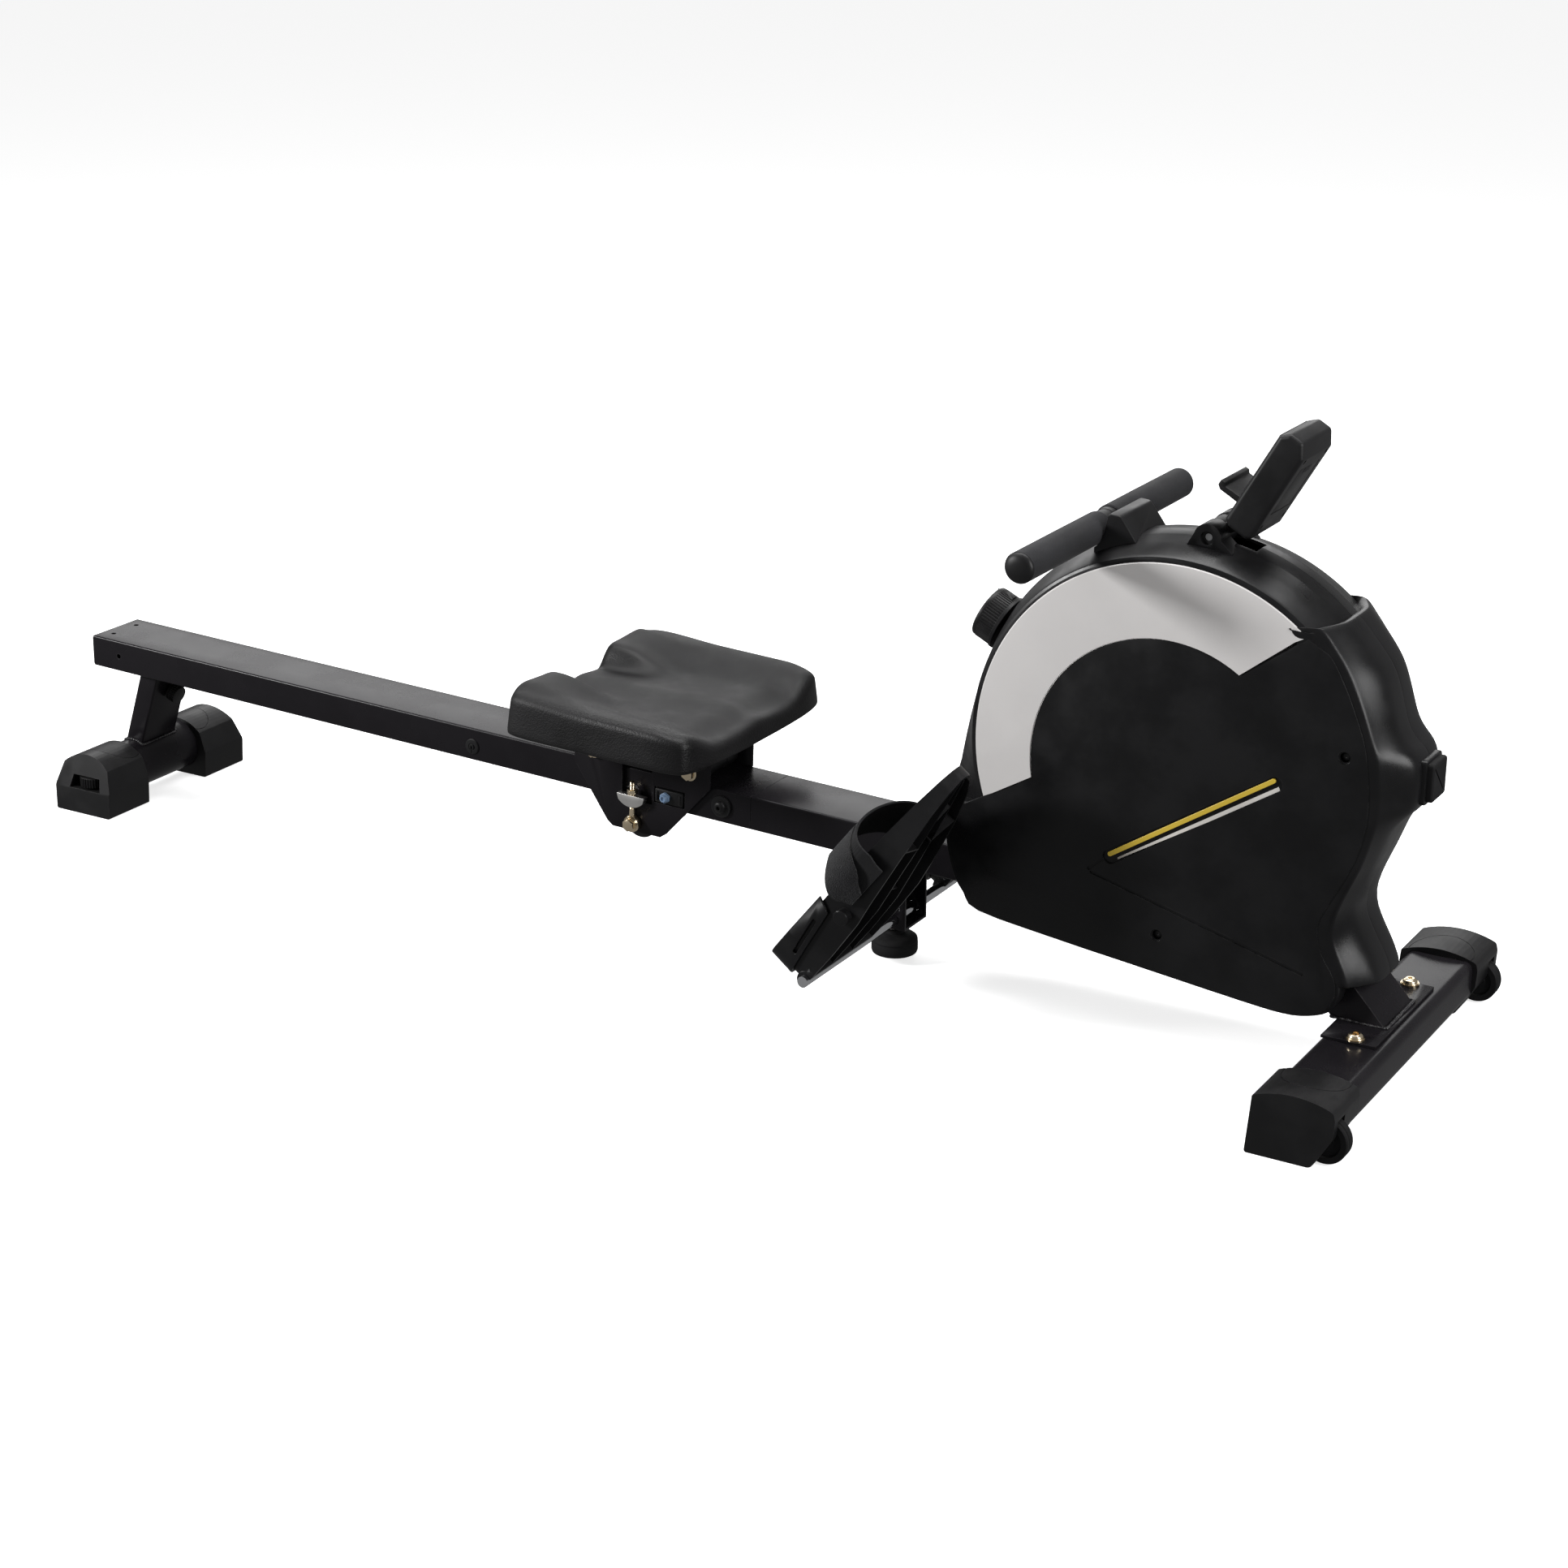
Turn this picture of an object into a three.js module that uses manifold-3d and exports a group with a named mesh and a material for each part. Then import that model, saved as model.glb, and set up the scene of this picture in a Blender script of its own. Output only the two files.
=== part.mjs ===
// Magnetic rowing machine, in millimetres.
// +X points from the seat to the flywheel, +Y to the rower's left and +Z up; the floor is z = 0.
import * as THREE from 'three';
import { mergeVertices } from 'three/addons/utils/BufferGeometryUtils.js';
import Module from 'manifold-3d';

const wasm = await Module();
wasm.setup();

// ---------------------------------------------------------------- driving dimensions
const GAP = 0.3;                       // clearance kept between pieces that touch
const REAR_X = -2;                     // rear face of the rear feet
const FRONT_X = 1685;                  // front of the transport wheels
const CENTRE_X = (REAR_X + FRONT_X) / 2;

const RAIL = { width: 80, height: 38, wall: 2, length: 935, topZ: 196.7, slope: 1.82 * Math.PI / 180 };
const BEAM_END_X = 1235;
const STOP_X = 899;                    // through bolt that stops the seat at the front

const REAR_TUBE = { x: 42, z: 38, r: 30, half: 84 };
const REAR_CAP = { inner: 51.5, outer: 122 };
const THUMBWHEEL = { x: 45, y: 104, z: 39, r: 16.5, thick: 11 };

const FRONT_TUBE = { x0: 1600, x1: 1670, z0: 21, z1: 61, half: 200, wall: 2, corner: 9 };
const FRONT_CAP = { inner: 166, outer: 230 };
const TRANSPORT_WHEEL = { x: 1662, z: 25, r: 23, y: 212, width: 15 };
const BASE_PLATE = { x0: 1602, x1: 1658, half: 82, z0: 61.3, z1: 64.3 };
const BASE_BOLT = { x: 1635, y: 75.4, r: 4 };
const POST = { footX: 1624.5, footZ: 63, lean: 47.4 * Math.PI / 180, half: 38, topX: 1545.3 };

const RING = { x: 1420, z: 294, face: 211, rim: 214, crease: 226, crown: 227 };
const DISC = { x: 1414, z: 285.5, r: 140 };            // dark disc inside the white crescent
const SHELL = { half: 60, wall: 2.5, bevelY: 57, creaseY: 18 };
const SCREW = { r: 5, at: [[1600, 340], [1418, 120]] };
const FLYWHEEL = { x: 1414, z: 285, r: 105, y0: -48, y1: -28, axle: 6 };
const REEL = { x: 1290, z: 320, drum: 28, flange: 42, half: 13, axle: 6, pulley: 62 };
const BELT_Y = [17, 25];
const AXLE_PULLEY_R = 14;
const SIDE_PLATES_Y = [[-20, -16], [29, 33]];
const MAGNET = { r0: 109, r1: 119, y0: -52, y1: -25, pivotR: 122, pivotDeg: 42, pin: 4 };

const ROD = { x: 1101, z: 55, r: 6, half: 215 };
const BRACKET = { x0: 1066, x1: 1115, half: 24, z0: 44, wall: 3 };
const FOOT = { x: 1090, r: 25, bottom: 8, side: 22, dome: 34 };
const PEDAL = {
  angle: 51.3 * Math.PI / 180, y: 145, half: 65, heel: -8, toe: 268, sole: 41, plate: 4, wall: 3, boss: 10.5,
};
const PEG = { u: 93, z: 14, r: 8, reach: 9 };
const STRAP = { u0: 115, u1: 165, rise: 42, thick: 3 };

const HANDLE = { x: 1316, z: 513, core: 11, grip: 15.5, gripIn: 13, gripOut: 184, half: 189 };
const KNOB = { angle: 154 * Math.PI / 180, r: 28, height: 26, shaft: 5 };
const CONSOLE = { pivotX: 1440, pivotZ: 524, lean: 60 * Math.PI / 180, half: 38, length: 112, thick: 32 };
const WINDOW = { s0: 38, s1: 102, half: 31, deep: 2.4 };
const DOOR = { s0: 30, s1: 84, half: 24, deep: 2.4 };
const KEY = { s: 14, r: 6 };
const HINGE = { r: 14, half: 35, gap: 12, pin: 3.5 };

// Seat carriage, in the rail's own frame.
const CARRIAGE = { rearX: 711, frontX: 886.3, plateIn: 42.5, plateOut: 45.5, seatZ: 49 };
const UPPER_ROLLER = { at: { rear: 737, front: 861 }, z: 12.8, r: 12.4 };
const LOWER_ROLLER = { x: 790.5, z: -60.3, r: 22 };
const ROLLER_HALF = 34;
const AXLE = { r: 4, hole: 4.3, head: 7.5 };
const EYEBOLT = { y0: -54, y1: -46, eye: 9.5, stem: 3, stemY: -50, top: -10, nut: 6.5 };
const SEAT = { rear: 682, length: 242, half: 146, thick: 40 };

// ---------------------------------------------------------------- solid helpers
function solid(geometry) {
  const bare = geometry.clone();
  bare.deleteAttribute('normal');
  bare.deleteAttribute('uv');
  const merged = mergeVertices(bare, 1e-4);
  const vertProperties = new Float32Array(merged.attributes.position.array);
  const triVerts = new Uint32Array(merged.index.array);
  return new wasm.Manifold(new wasm.Mesh({ numProp: 3, vertProperties, triVerts }));
}

function toGeometry(manifold) {
  const mesh = manifold.getMesh();
  const geometry = new THREE.BufferGeometry();
  geometry.setAttribute('position', new THREE.BufferAttribute(new Float32Array(mesh.vertProperties), 3));
  geometry.setIndex(new THREE.BufferAttribute(new Uint32Array(mesh.triVerts), 1));
  const flat = geometry.toNonIndexed();
  flat.computeVertexNormals();
  return flat;
}

const join = (...parts) => parts.reduce((a, b) => a.add(b));
const cut = (base, ...tools) => tools.reduce((a, b) => a.subtract(b), base);

function box(x0, x1, y0, y1, z0, z1) {
  const geometry = new THREE.BoxGeometry(x1 - x0, y1 - y0, z1 - z0);
  geometry.translate((x0 + x1) / 2, (y0 + y1) / 2, (z0 + z1) / 2);
  return solid(geometry);
}

// A round bar between two points.
function bar(from, to, radius, sides = 16, endRadius = radius) {
  const a = new THREE.Vector3(...from);
  const b = new THREE.Vector3(...to);
  const geometry = new THREE.CylinderGeometry(endRadius, radius, a.distanceTo(b), sides);
  const up = new THREE.Vector3(0, 1, 0);
  geometry.applyQuaternion(new THREE.Quaternion().setFromUnitVectors(up, b.clone().sub(a).normalize()));
  const middle = a.add(b).multiplyScalar(0.5);
  geometry.translate(middle.x, middle.y, middle.z);
  return solid(geometry);
}

const barY = (x, z, y0, y1, radius, sides) => bar([x, y0, z], [x, y1, z], radius, sides);

// A bar across the machine on its left (side 1) or right (side -1), between two distances from the middle.
function barSide(side, x, z, near, far, radius, sides) {
  const ends = [side * near, side * far].sort((a, b) => a - b);
  return barY(x, z, ends[0], ends[1], radius, sides);
}

// A turned piece about +Z from a closed profile of [radius, z] points.
function turned(profile, sides = 16) {
  const geometry = new THREE.LatheGeometry(profile.map(([r, z]) => new THREE.Vector2(r, z)), sides);
  geometry.rotateX(Math.PI / 2);
  return solid(geometry);
}

// An outline of [x, z] points pushed along Y.
function plate(points, y0, y1) {
  const outline = new THREE.Shape(points.map(([x, z]) => new THREE.Vector2(x, z)));
  const geometry = new THREE.ExtrudeGeometry(outline, { depth: y1 - y0, bevelEnabled: false });
  geometry.rotateX(Math.PI / 2);
  geometry.translate(0, y1, 0);
  return solid(geometry);
}

// An outline of [x, y] points pushed along Z.
function slab(points, z0, z1) {
  const outline = new THREE.Shape(points.map(([x, y]) => new THREE.Vector2(x, y)));
  const geometry = new THREE.ExtrudeGeometry(outline, { depth: z1 - z0, bevelEnabled: false });
  geometry.translate(0, 0, z0);
  return solid(geometry);
}

// A solid skinned over outlines of [x, z] points, one outline at each y, y rising.
function skinned(levels) {
  const count = levels[0].points.length;
  const positions = [];
  levels.forEach(({ y, points }) => points.forEach(([x, z]) => positions.push(x, y, z)));
  const index = [];
  for (let level = 0; level + 1 < levels.length; level += 1) {
    for (let i = 0; i < count; i += 1) {
      const a = level * count + i;
      const b = level * count + ((i + 1) % count);
      index.push(a, a + count, b, b, a + count, b + count);
    }
  }
  const ends = [[0, false], [levels.length - 1, true]];
  ends.forEach(([level, flip]) => {
    const contour = levels[level].points.map(([x, z]) => new THREE.Vector2(x, z));
    THREE.ShapeUtils.triangulateShape(contour, []).forEach(([a, b, c]) => {
      const base = level * count;
      if (flip) index.push(base + a, base + c, base + b);
      else index.push(base + a, base + b, base + c);
    });
  });
  const geometry = new THREE.BufferGeometry();
  geometry.setAttribute('position', new THREE.BufferAttribute(new Float32Array(positions), 3));
  geometry.setIndex(index);
  return solid(geometry);
}

// Moves each point of a counter-clockwise outline inwards by a distance.
function inset(points, distance) {
  return points.map((point, i) => {
    const before = points[(i + points.length - 1) % points.length];
    const after = points[(i + 1) % points.length];
    const e1 = new THREE.Vector2(point[0] - before[0], point[1] - before[1]).normalize();
    const e2 = new THREE.Vector2(after[0] - point[0], after[1] - point[1]).normalize();
    const normal = new THREE.Vector2(-e1.y - e2.y, e1.x + e2.x).normalize();
    const reach = distance / Math.max(0.45, normal.dot(new THREE.Vector2(-e1.y, e1.x)));
    return [point[0] + normal.x * reach, point[1] + normal.y * reach];
  });
}

function arc(x, z, r, fromDeg, toDeg, steps) {
  return Array.from({ length: steps + 1 }, (_, i) => {
    const angle = (fromDeg + (toDeg - fromDeg) * i / steps) * Math.PI / 180;
    return [x + r * Math.cos(angle), z + r * Math.sin(angle)];
  });
}

function roundedRect(x0, x1, z0, z1, r, steps = 4) {
  return [
    ...arc(x1 - r, z0 + r, r, -90, 0, steps), ...arc(x1 - r, z1 - r, r, 0, 90, steps),
    ...arc(x0 + r, z1 - r, r, 90, 180, steps), ...arc(x0 + r, z0 + r, r, 180, 270, steps),
  ];
}

// The same solid on the other side of the XZ plane.
const mirrorY = (manifold) => manifold.mirror([0, 1, 0]);

// ---------------------------------------------------------------- materials and scene graph
const finish = (color, roughness, metalness) => ({ color, roughness, metalness });
const FINISH = {
  paint: finish(0x1b1a1e, 0.35, 0.3),
  plastic: finish(0x141416, 0.5, 0),
  rubber: finish(0x101011, 0.8, 0),
  foam: finish(0x17171a, 0.9, 0),
  white: finish(0xd6d2d0, 0.15, 0),
  zinc: finish(0xb9b09a, 0.3, 1),
  chrome: finish(0xd8dadc, 0.12, 1),
  steel: finish(0x8a8b8e, 0.35, 1),
  webbing: finish(0x101012, 0.95, 0),
  seat: finish(0x121214, 0.55, 0),
  glass: finish(0x20262a, 0.1, 0),
};

const machine = new THREE.Group();
machine.position.x = -CENTRE_X;
const railGroup = new THREE.Group();
railGroup.position.z = RAIL.topZ;
railGroup.rotation.y = RAIL.slope;
const pedalGroup = new THREE.Group();
pedalGroup.position.set(ROD.x, 0, ROD.z);
pedalGroup.rotation.y = -PEDAL.angle;
machine.add(railGroup, pedalGroup);

function add(name, look, manifold, parent = machine) {
  const mesh = new THREE.Mesh(toGeometry(manifold), new THREE.MeshStandardMaterial(FINISH[look]));
  mesh.name = name;
  parent.add(mesh);
}

// Adds NAME_right on the -Y side and its mirror NAME_left on the +Y side.
function addPair(name, look, rightSolid, parent = machine) {
  add(`${name}_right`, look, rightSolid, parent);
  add(`${name}_left`, look, mirrorY(rightSolid), parent);
}

// ---------------------------------------------------------------- rail and front beam
function hollowTube(x0, x1) {
  const half = RAIL.width / 2;
  const outer = box(x0, x1, -half, half, -RAIL.height, 0);
  const w = RAIL.wall;
  return cut(outer, box(x0 - 1, x1 + 1, -half + w, half - w, -RAIL.height + w, -w));
}

function makeRail() {
  const half = RAIL.width / 2;
  const middle = -RAIL.height / 2;
  const topHoles = [-20, 20].map((y) => bar([15, y, -10], [15, y, 5], 3, 10));
  const sideHole = barY(40, middle, -half - 5, half + 5, 3, 10);
  const stopHole = barY(STOP_X, middle, -half - 5, half + 5, 4.3, 12);
  add('rail', 'paint', cut(hollowTube(0, RAIL.length), ...topHoles, sideHole, stopHole), railGroup);
  add('front_beam', 'paint', hollowTube(RAIL.length + GAP, BEAM_END_X), railGroup);

  const washerIn = half + GAP;
  const washerOut = washerIn + 3;
  const shank = barY(STOP_X, middle, -washerOut, washerOut, 4, 12);
  const ends = [-1, 1].flatMap((side) => [
    barSide(side, STOP_X, middle, washerIn, washerOut, 12),
    barSide(side, STOP_X, middle, washerOut, washerOut + 5, 6.5),
  ]);
  add('front_stop_bolt', 'plastic', join(shank, ...ends), railGroup);
}

// ---------------------------------------------------------------- rear leg, feet and levellers
function railUnderside(x) {
  return RAIL.topZ - x * Math.tan(RAIL.slope) - RAIL.height / Math.cos(RAIL.slope) - GAP;
}

function makeRearLeg() {
  const tube = barY(REAR_TUBE.x, REAR_TUBE.z, -REAR_TUBE.half, REAR_TUBE.half, REAR_TUBE.r, 28);
  const bore = barY(REAR_TUBE.x, REAR_TUBE.z, -REAR_TUBE.half - 1, REAR_TUBE.half + 1, REAR_TUBE.r - 2, 28);
  const lean = 0.352;                  // forward travel of the strut per millimetre of height
  const rearX = (z) => 29.6 + (z - 62.5) * lean;
  const depth = 27;
  const rearTopX = 63;
  const frontTopX = rearTopX + depth;
  const outline = [
    [rearX(55), 55], [rearX(55) + depth, 55],
    [frontTopX, railUnderside(frontTopX)], [rearTopX, railUnderside(rearTopX)],
  ];
  const strut = plate(outline, -30, 30);
  add('rear_leg', 'paint', join(cut(tube, bore), cut(strut, bore)));

  const start = [81.2, 0, 129.6];
  const along = (distance) => [start[0] + 0.943 * distance, 0, start[2] - 0.333 * distance];
  const knob = join(bar(start, along(4), 6, 16), bar(along(4), along(15), 10, 20));
  add('rear_clamp_knob', 'plastic', knob);
}

function makeRearFeet() {
  const outline = [
    [-2, 0], [82, 0], [84, 33], [81, 54], [72, 64], [56, 71], [38, 73], [22, 68], [10, 57], [-1, 33],
  ];
  const block = plate(outline, -REAR_CAP.outer, -REAR_CAP.inner);
  const socket = barY(REAR_TUBE.x, REAR_TUBE.z, -REAR_TUBE.half - GAP, 0, REAR_TUBE.r + GAP, 28);
  const slotOutline = [[20, 30], [70, 30], [66, 47], [24, 47]];
  const slot = plate(slotOutline, -REAR_CAP.outer - 1, -REAR_TUBE.half - 2);
  const { x, y, z, r, thick } = THUMBWHEEL;
  const stemHole = bar([x, -y, -1], [x, -y, z], 5.3, 16);
  addPair('rear_foot', 'plastic', cut(block, socket, slot, stemHole));

  const wheel = bar([x, -y, z - thick / 2], [x, -y, z + thick / 2], r, 20);
  const stem = bar([x, -y, 1], [x, -y, z], 5, 16);
  addPair('leveling_thumbwheel', 'rubber', join(wheel, stem));
}

// ---------------------------------------------------------------- front stabiliser
function baseBoltHoles() {
  const { x, y, r } = BASE_BOLT;
  return [-y, y].map((side) => bar([x, side, 50], [x, side, 70], r + 0.4, 16));
}

function makeFrontStabiliser() {
  const { x0, x1, z0, z1, half, wall, corner } = FRONT_TUBE;
  const outer = plate(roundedRect(x0, x1, z0, z1, corner), -half, half);
  const innerOutline = roundedRect(x0 + wall, x1 - wall, z0 + wall, z1 - wall, corner - wall);
  const inner = plate(innerOutline, -half - 1, half + 1);
  add('front_stabiliser_tube', 'paint', cut(outer, inner, ...baseBoltHoles()));

  const outline = [
    [1588, 0], [1654, 0], [1674, 34], [1675, 52], [1664, 62], [1640, 67.5], [1618, 68.5], [1594, 60],
  ];
  const block = plate(outline, -FRONT_CAP.outer, -FRONT_CAP.inner);
  const socketOutline = roundedRect(x0 - GAP, x1 + GAP, z0 - GAP, z1 + GAP, corner);
  const socket = plate(socketOutline, -half - GAP, -FRONT_CAP.inner + 1);
  const wheel = TRANSPORT_WHEEL;
  const pocketHalf = wheel.width / 2 + 1.5;
  const pocket = join(
    barY(wheel.x, wheel.z, -wheel.y - pocketHalf, -wheel.y + pocketHalf, wheel.r + 2.5, 24),
    box(wheel.x, 1700, -wheel.y - pocketHalf, -wheel.y + pocketHalf, -5, wheel.z + wheel.r + 2),
  );
  const pinHole = barY(wheel.x, wheel.z, -wheel.y - pocketHalf - 6, -wheel.y + pocketHalf + 2, 4.3, 16);
  addPair('front_foot', 'plastic', cut(block, socket, pocket, pinHole));

  const tread = barY(wheel.x, wheel.z, -wheel.y - wheel.width / 2, -wheel.y + wheel.width / 2, wheel.r, 24);
  const pin = barY(wheel.x, wheel.z, -wheel.y - pocketHalf - 5, -wheel.y + pocketHalf + 1.5, 4, 16);
  addPair('transport_wheel', 'rubber', join(tread, pin));
}

// The leaning post and its welded base plate, bolted to the stabiliser tube.
function postOutline(extra) {
  const along = [-Math.cos(POST.lean), Math.sin(POST.lean)];
  const across = [Math.sin(POST.lean), Math.cos(POST.lean)];
  const halfDepth = 20 + extra;
  const corners = [[-60, -halfDepth], [-60, halfDepth], [220, halfDepth], [220, -halfDepth]];
  return corners.map(([t, n]) => [
    POST.footX + along[0] * t + across[0] * n,
    POST.footZ + along[1] * t + across[1] * n,
  ]);
}

function makeFrontPost() {
  const leaning = plate(postOutline(0), -POST.half, POST.half);
  const window = box(POST.topX, 1700, -60, 60, BASE_PLATE.z1 - 1, 300);
  const hollow = plate(postOutline(-3), -POST.half + 3, POST.half - 3);
  const room = box(1500, 1700, -60, 60, BASE_PLATE.z1 + 2, 300);
  const post = cut(leaning.intersect(window), hollow.intersect(room));
  const { x0, x1, half, z0, z1 } = BASE_PLATE;
  const flat = box(x0, x1, -half, half, z0, z1);
  add('front_post', 'paint', cut(join(post, flat), ...baseBoltHoles()));

  const top = BASE_PLATE.z1 + GAP;
  const profile = [
    [0, 34], [BASE_BOLT.r, 34], [BASE_BOLT.r, top], [8, top], [8, top + 1.6], [6.6, top + 1.6],
    [6, top + 4.6], [3.2, top + 6.2], [0, top + 6.4],
  ];
  const bolt = turned(profile, 20).translate([BASE_BOLT.x, -BASE_BOLT.y, 0]);
  addPair('base_bolt', 'zinc', bolt);
}

// ---------------------------------------------------------------- covers
// Corner points of the lower cover from the crescent's tail round to the front.
const LOWER = [
  [1181, 217], [1180, 178], [1189, 140], [1201, 120], [1219, 103], [1307, 91], [1398, 81], [1511, 69],
  [1554, 66], [1579, 69], [1600, 78], [1609, 95], [1607, 116], [1593, 139], [1588, 165], [1598, 190],
  [1610, 214], [1624, 250], [1630, 292], [1624, 348], [1611, 385], [1597, 415], [1581, 440],
];
const TAIL = { from: 162.5, to: 200, core: [[1207, 361], [1166, 214]] };

// Outline at one level: radius of the ring and how far its rear follows the straight core.
function coverOutline(radius, core) {
  const top = arc(RING.x, RING.z, radius, 46, TAIL.from, 22);
  const rear = arc(RING.x, RING.z, radius, TAIL.from, TAIL.to, 6).slice(1).map(([x, z], i) => {
    const t = (i + 1) / 6;
    const [a, b] = TAIL.core;
    const straight = [a[0] + (b[0] - a[0]) * t, a[1] + (b[1] - a[1]) * t];
    return [x + (straight[0] - x) * core, z + (straight[1] - z) * core];
  });
  const lower = LOWER.map(([x, z], i) => (i === 0 ? [x - 13 * core, z - 5 * core] : [x, z]));
  return [...top, ...rear, ...lower];
}

// Half of the housing on the -Y side; grow > 0 makes a tool for cutting neighbours.
function coverSolid(grow, seamY) {
  const levels = [
    [-SHELL.half, RING.face, 0], [-SHELL.bevelY, RING.rim, 0], [-34, 221.5, 0.75],
    [-SHELL.creaseY, RING.crease, 1], [seamY, RING.crown, 1],
  ];
  return skinned(levels.map(([y, radius, core], i) => {
    const outline = inset(coverOutline(radius, core), -grow + (i === 0 ? 2 : 0));
    return { y: i === 0 ? y - grow : y, points: outline };
  }));
}

function makeCovers() {
  const outer = coverSolid(0, -GAP / 2);
  const levels = [
    [-SHELL.half + SHELL.wall, RING.face, 0], [-34, 221.5, 0.75],
    [-SHELL.creaseY, RING.crease, 1], [1, RING.crown, 1],
  ];
  const hollow = skinned(levels.map(([y, radius, core]) => {
    const points = inset(coverOutline(radius, core), SHELL.wall + 0.4);
    return { y, points };
  }));
  const beamWay = box(1140, 1215, -RAIL.width / 2 - 0.8, 5, 116, 165);
  const strapWay = box(1311, 1327, -15, 5, 470, 520);
  const postWay = plate(postOutline(0.8), -POST.half - 0.8, 5);
  const shaftWay = bar(knobPoint(190), knobPoint(250), KNOB.shaft + 1, 12);
  const hingeWay = box(CONSOLE.pivotX - 15, CONSOLE.pivotX + 42, -13, 5, 500, 540);
  const screwHoles = SCREW.at.map(([x, z]) => barY(x, z, -70, -50, SCREW.r, 12));
  const ways = [beamWay, strapWay, postWay, shaftWay, hingeWay];
  addPair('cover', 'plastic', cut(outer, hollow, ...ways, ...screwHoles));

  const crescentOutline = [
    ...arc(RING.x, RING.z, RING.face - 3.5, 49, 198, 24), ...arc(DISC.x, DISC.z, DISC.r, 190.5, 56.5, 18),
  ];
  addPair('crescent_panel', 'white', plate(crescentOutline, -SHELL.half - 1.5, -SHELL.half - GAP));
}

// Nose cover over the front of the ring, with the boss that carries the storage bumper.
// Each row: height, and how far forward the middle and the edges reach.
const NOSE = [
  [462, 1584, 1569], [447, 1597, 1580], [432, 1610, 1592], [415, 1624, 1601],
  [385, 1633, 1615], [356, 1641, 1626], [346, 1655, 1629], [336, 1664, 1631],
  [291, 1664, 1635], [281, 1655, 1634], [266, 1640, 1631], [230, 1628, 1623],
  [179, 1605, 1598], [152, 1617, 1596], [125, 1634, 1611], [106, 1641, 1617],
];
const NOSE_BACK_X = 1556;

// Side view of the nose: toCentre is 0 at its edges and 1 in its middle, and extend lengthens it downwards.
function noseOutline(toCentre, inward, extend) {
  const front = NOSE.map(([z, middle, edge]) => [edge + (middle - edge) * toCentre - inward, z]);
  front[front.length - 1][1] -= extend;
  const top = front[0][1];
  const low = front[front.length - 1][1];
  return [[NOSE_BACK_X, top], [NOSE_BACK_X, low], ...front.reverse()];
}

function makeNose() {
  const shape = (edgeY, flankY, middleY, inward, extend) => {
    const right = [[-edgeY, 0], [-flankY, 0.45], [-middleY, 1]];
    const left = [[middleY, 1], [flankY, 0.45], [edgeY, 0]];
    const rows = [...right, ...left];
    return skinned(rows.map(([y, share]) => ({ y, points: noseOutline(share, inward, extend) })));
  };
  const outer = shape(61, 46, 26, 0, 0);
  const hollow = shape(58, 44, 24, 3, 10).translate([0, 0, -3]);
  const half = coverSolid(GAP + 0.1, 1);
  const covers = join(half, mirrorY(half));
  const postWay = plate(postOutline(0.8), -POST.half - 0.8, POST.half + 0.8);
  const socket = box(1659, 1670, -19.3, 19.3, 293, 334);
  add('front_nose_cover', 'plastic', cut(outer, covers, hollow, postWay, socket));
  const bumper = plate(roundedRect(1655, 1672, 294, 333, 4, 3), -19, 19);
  add('storage_bumper', 'rubber', cut(bumper, box(1640, 1659.3, -30, 30, 280, 350)));
}

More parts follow.
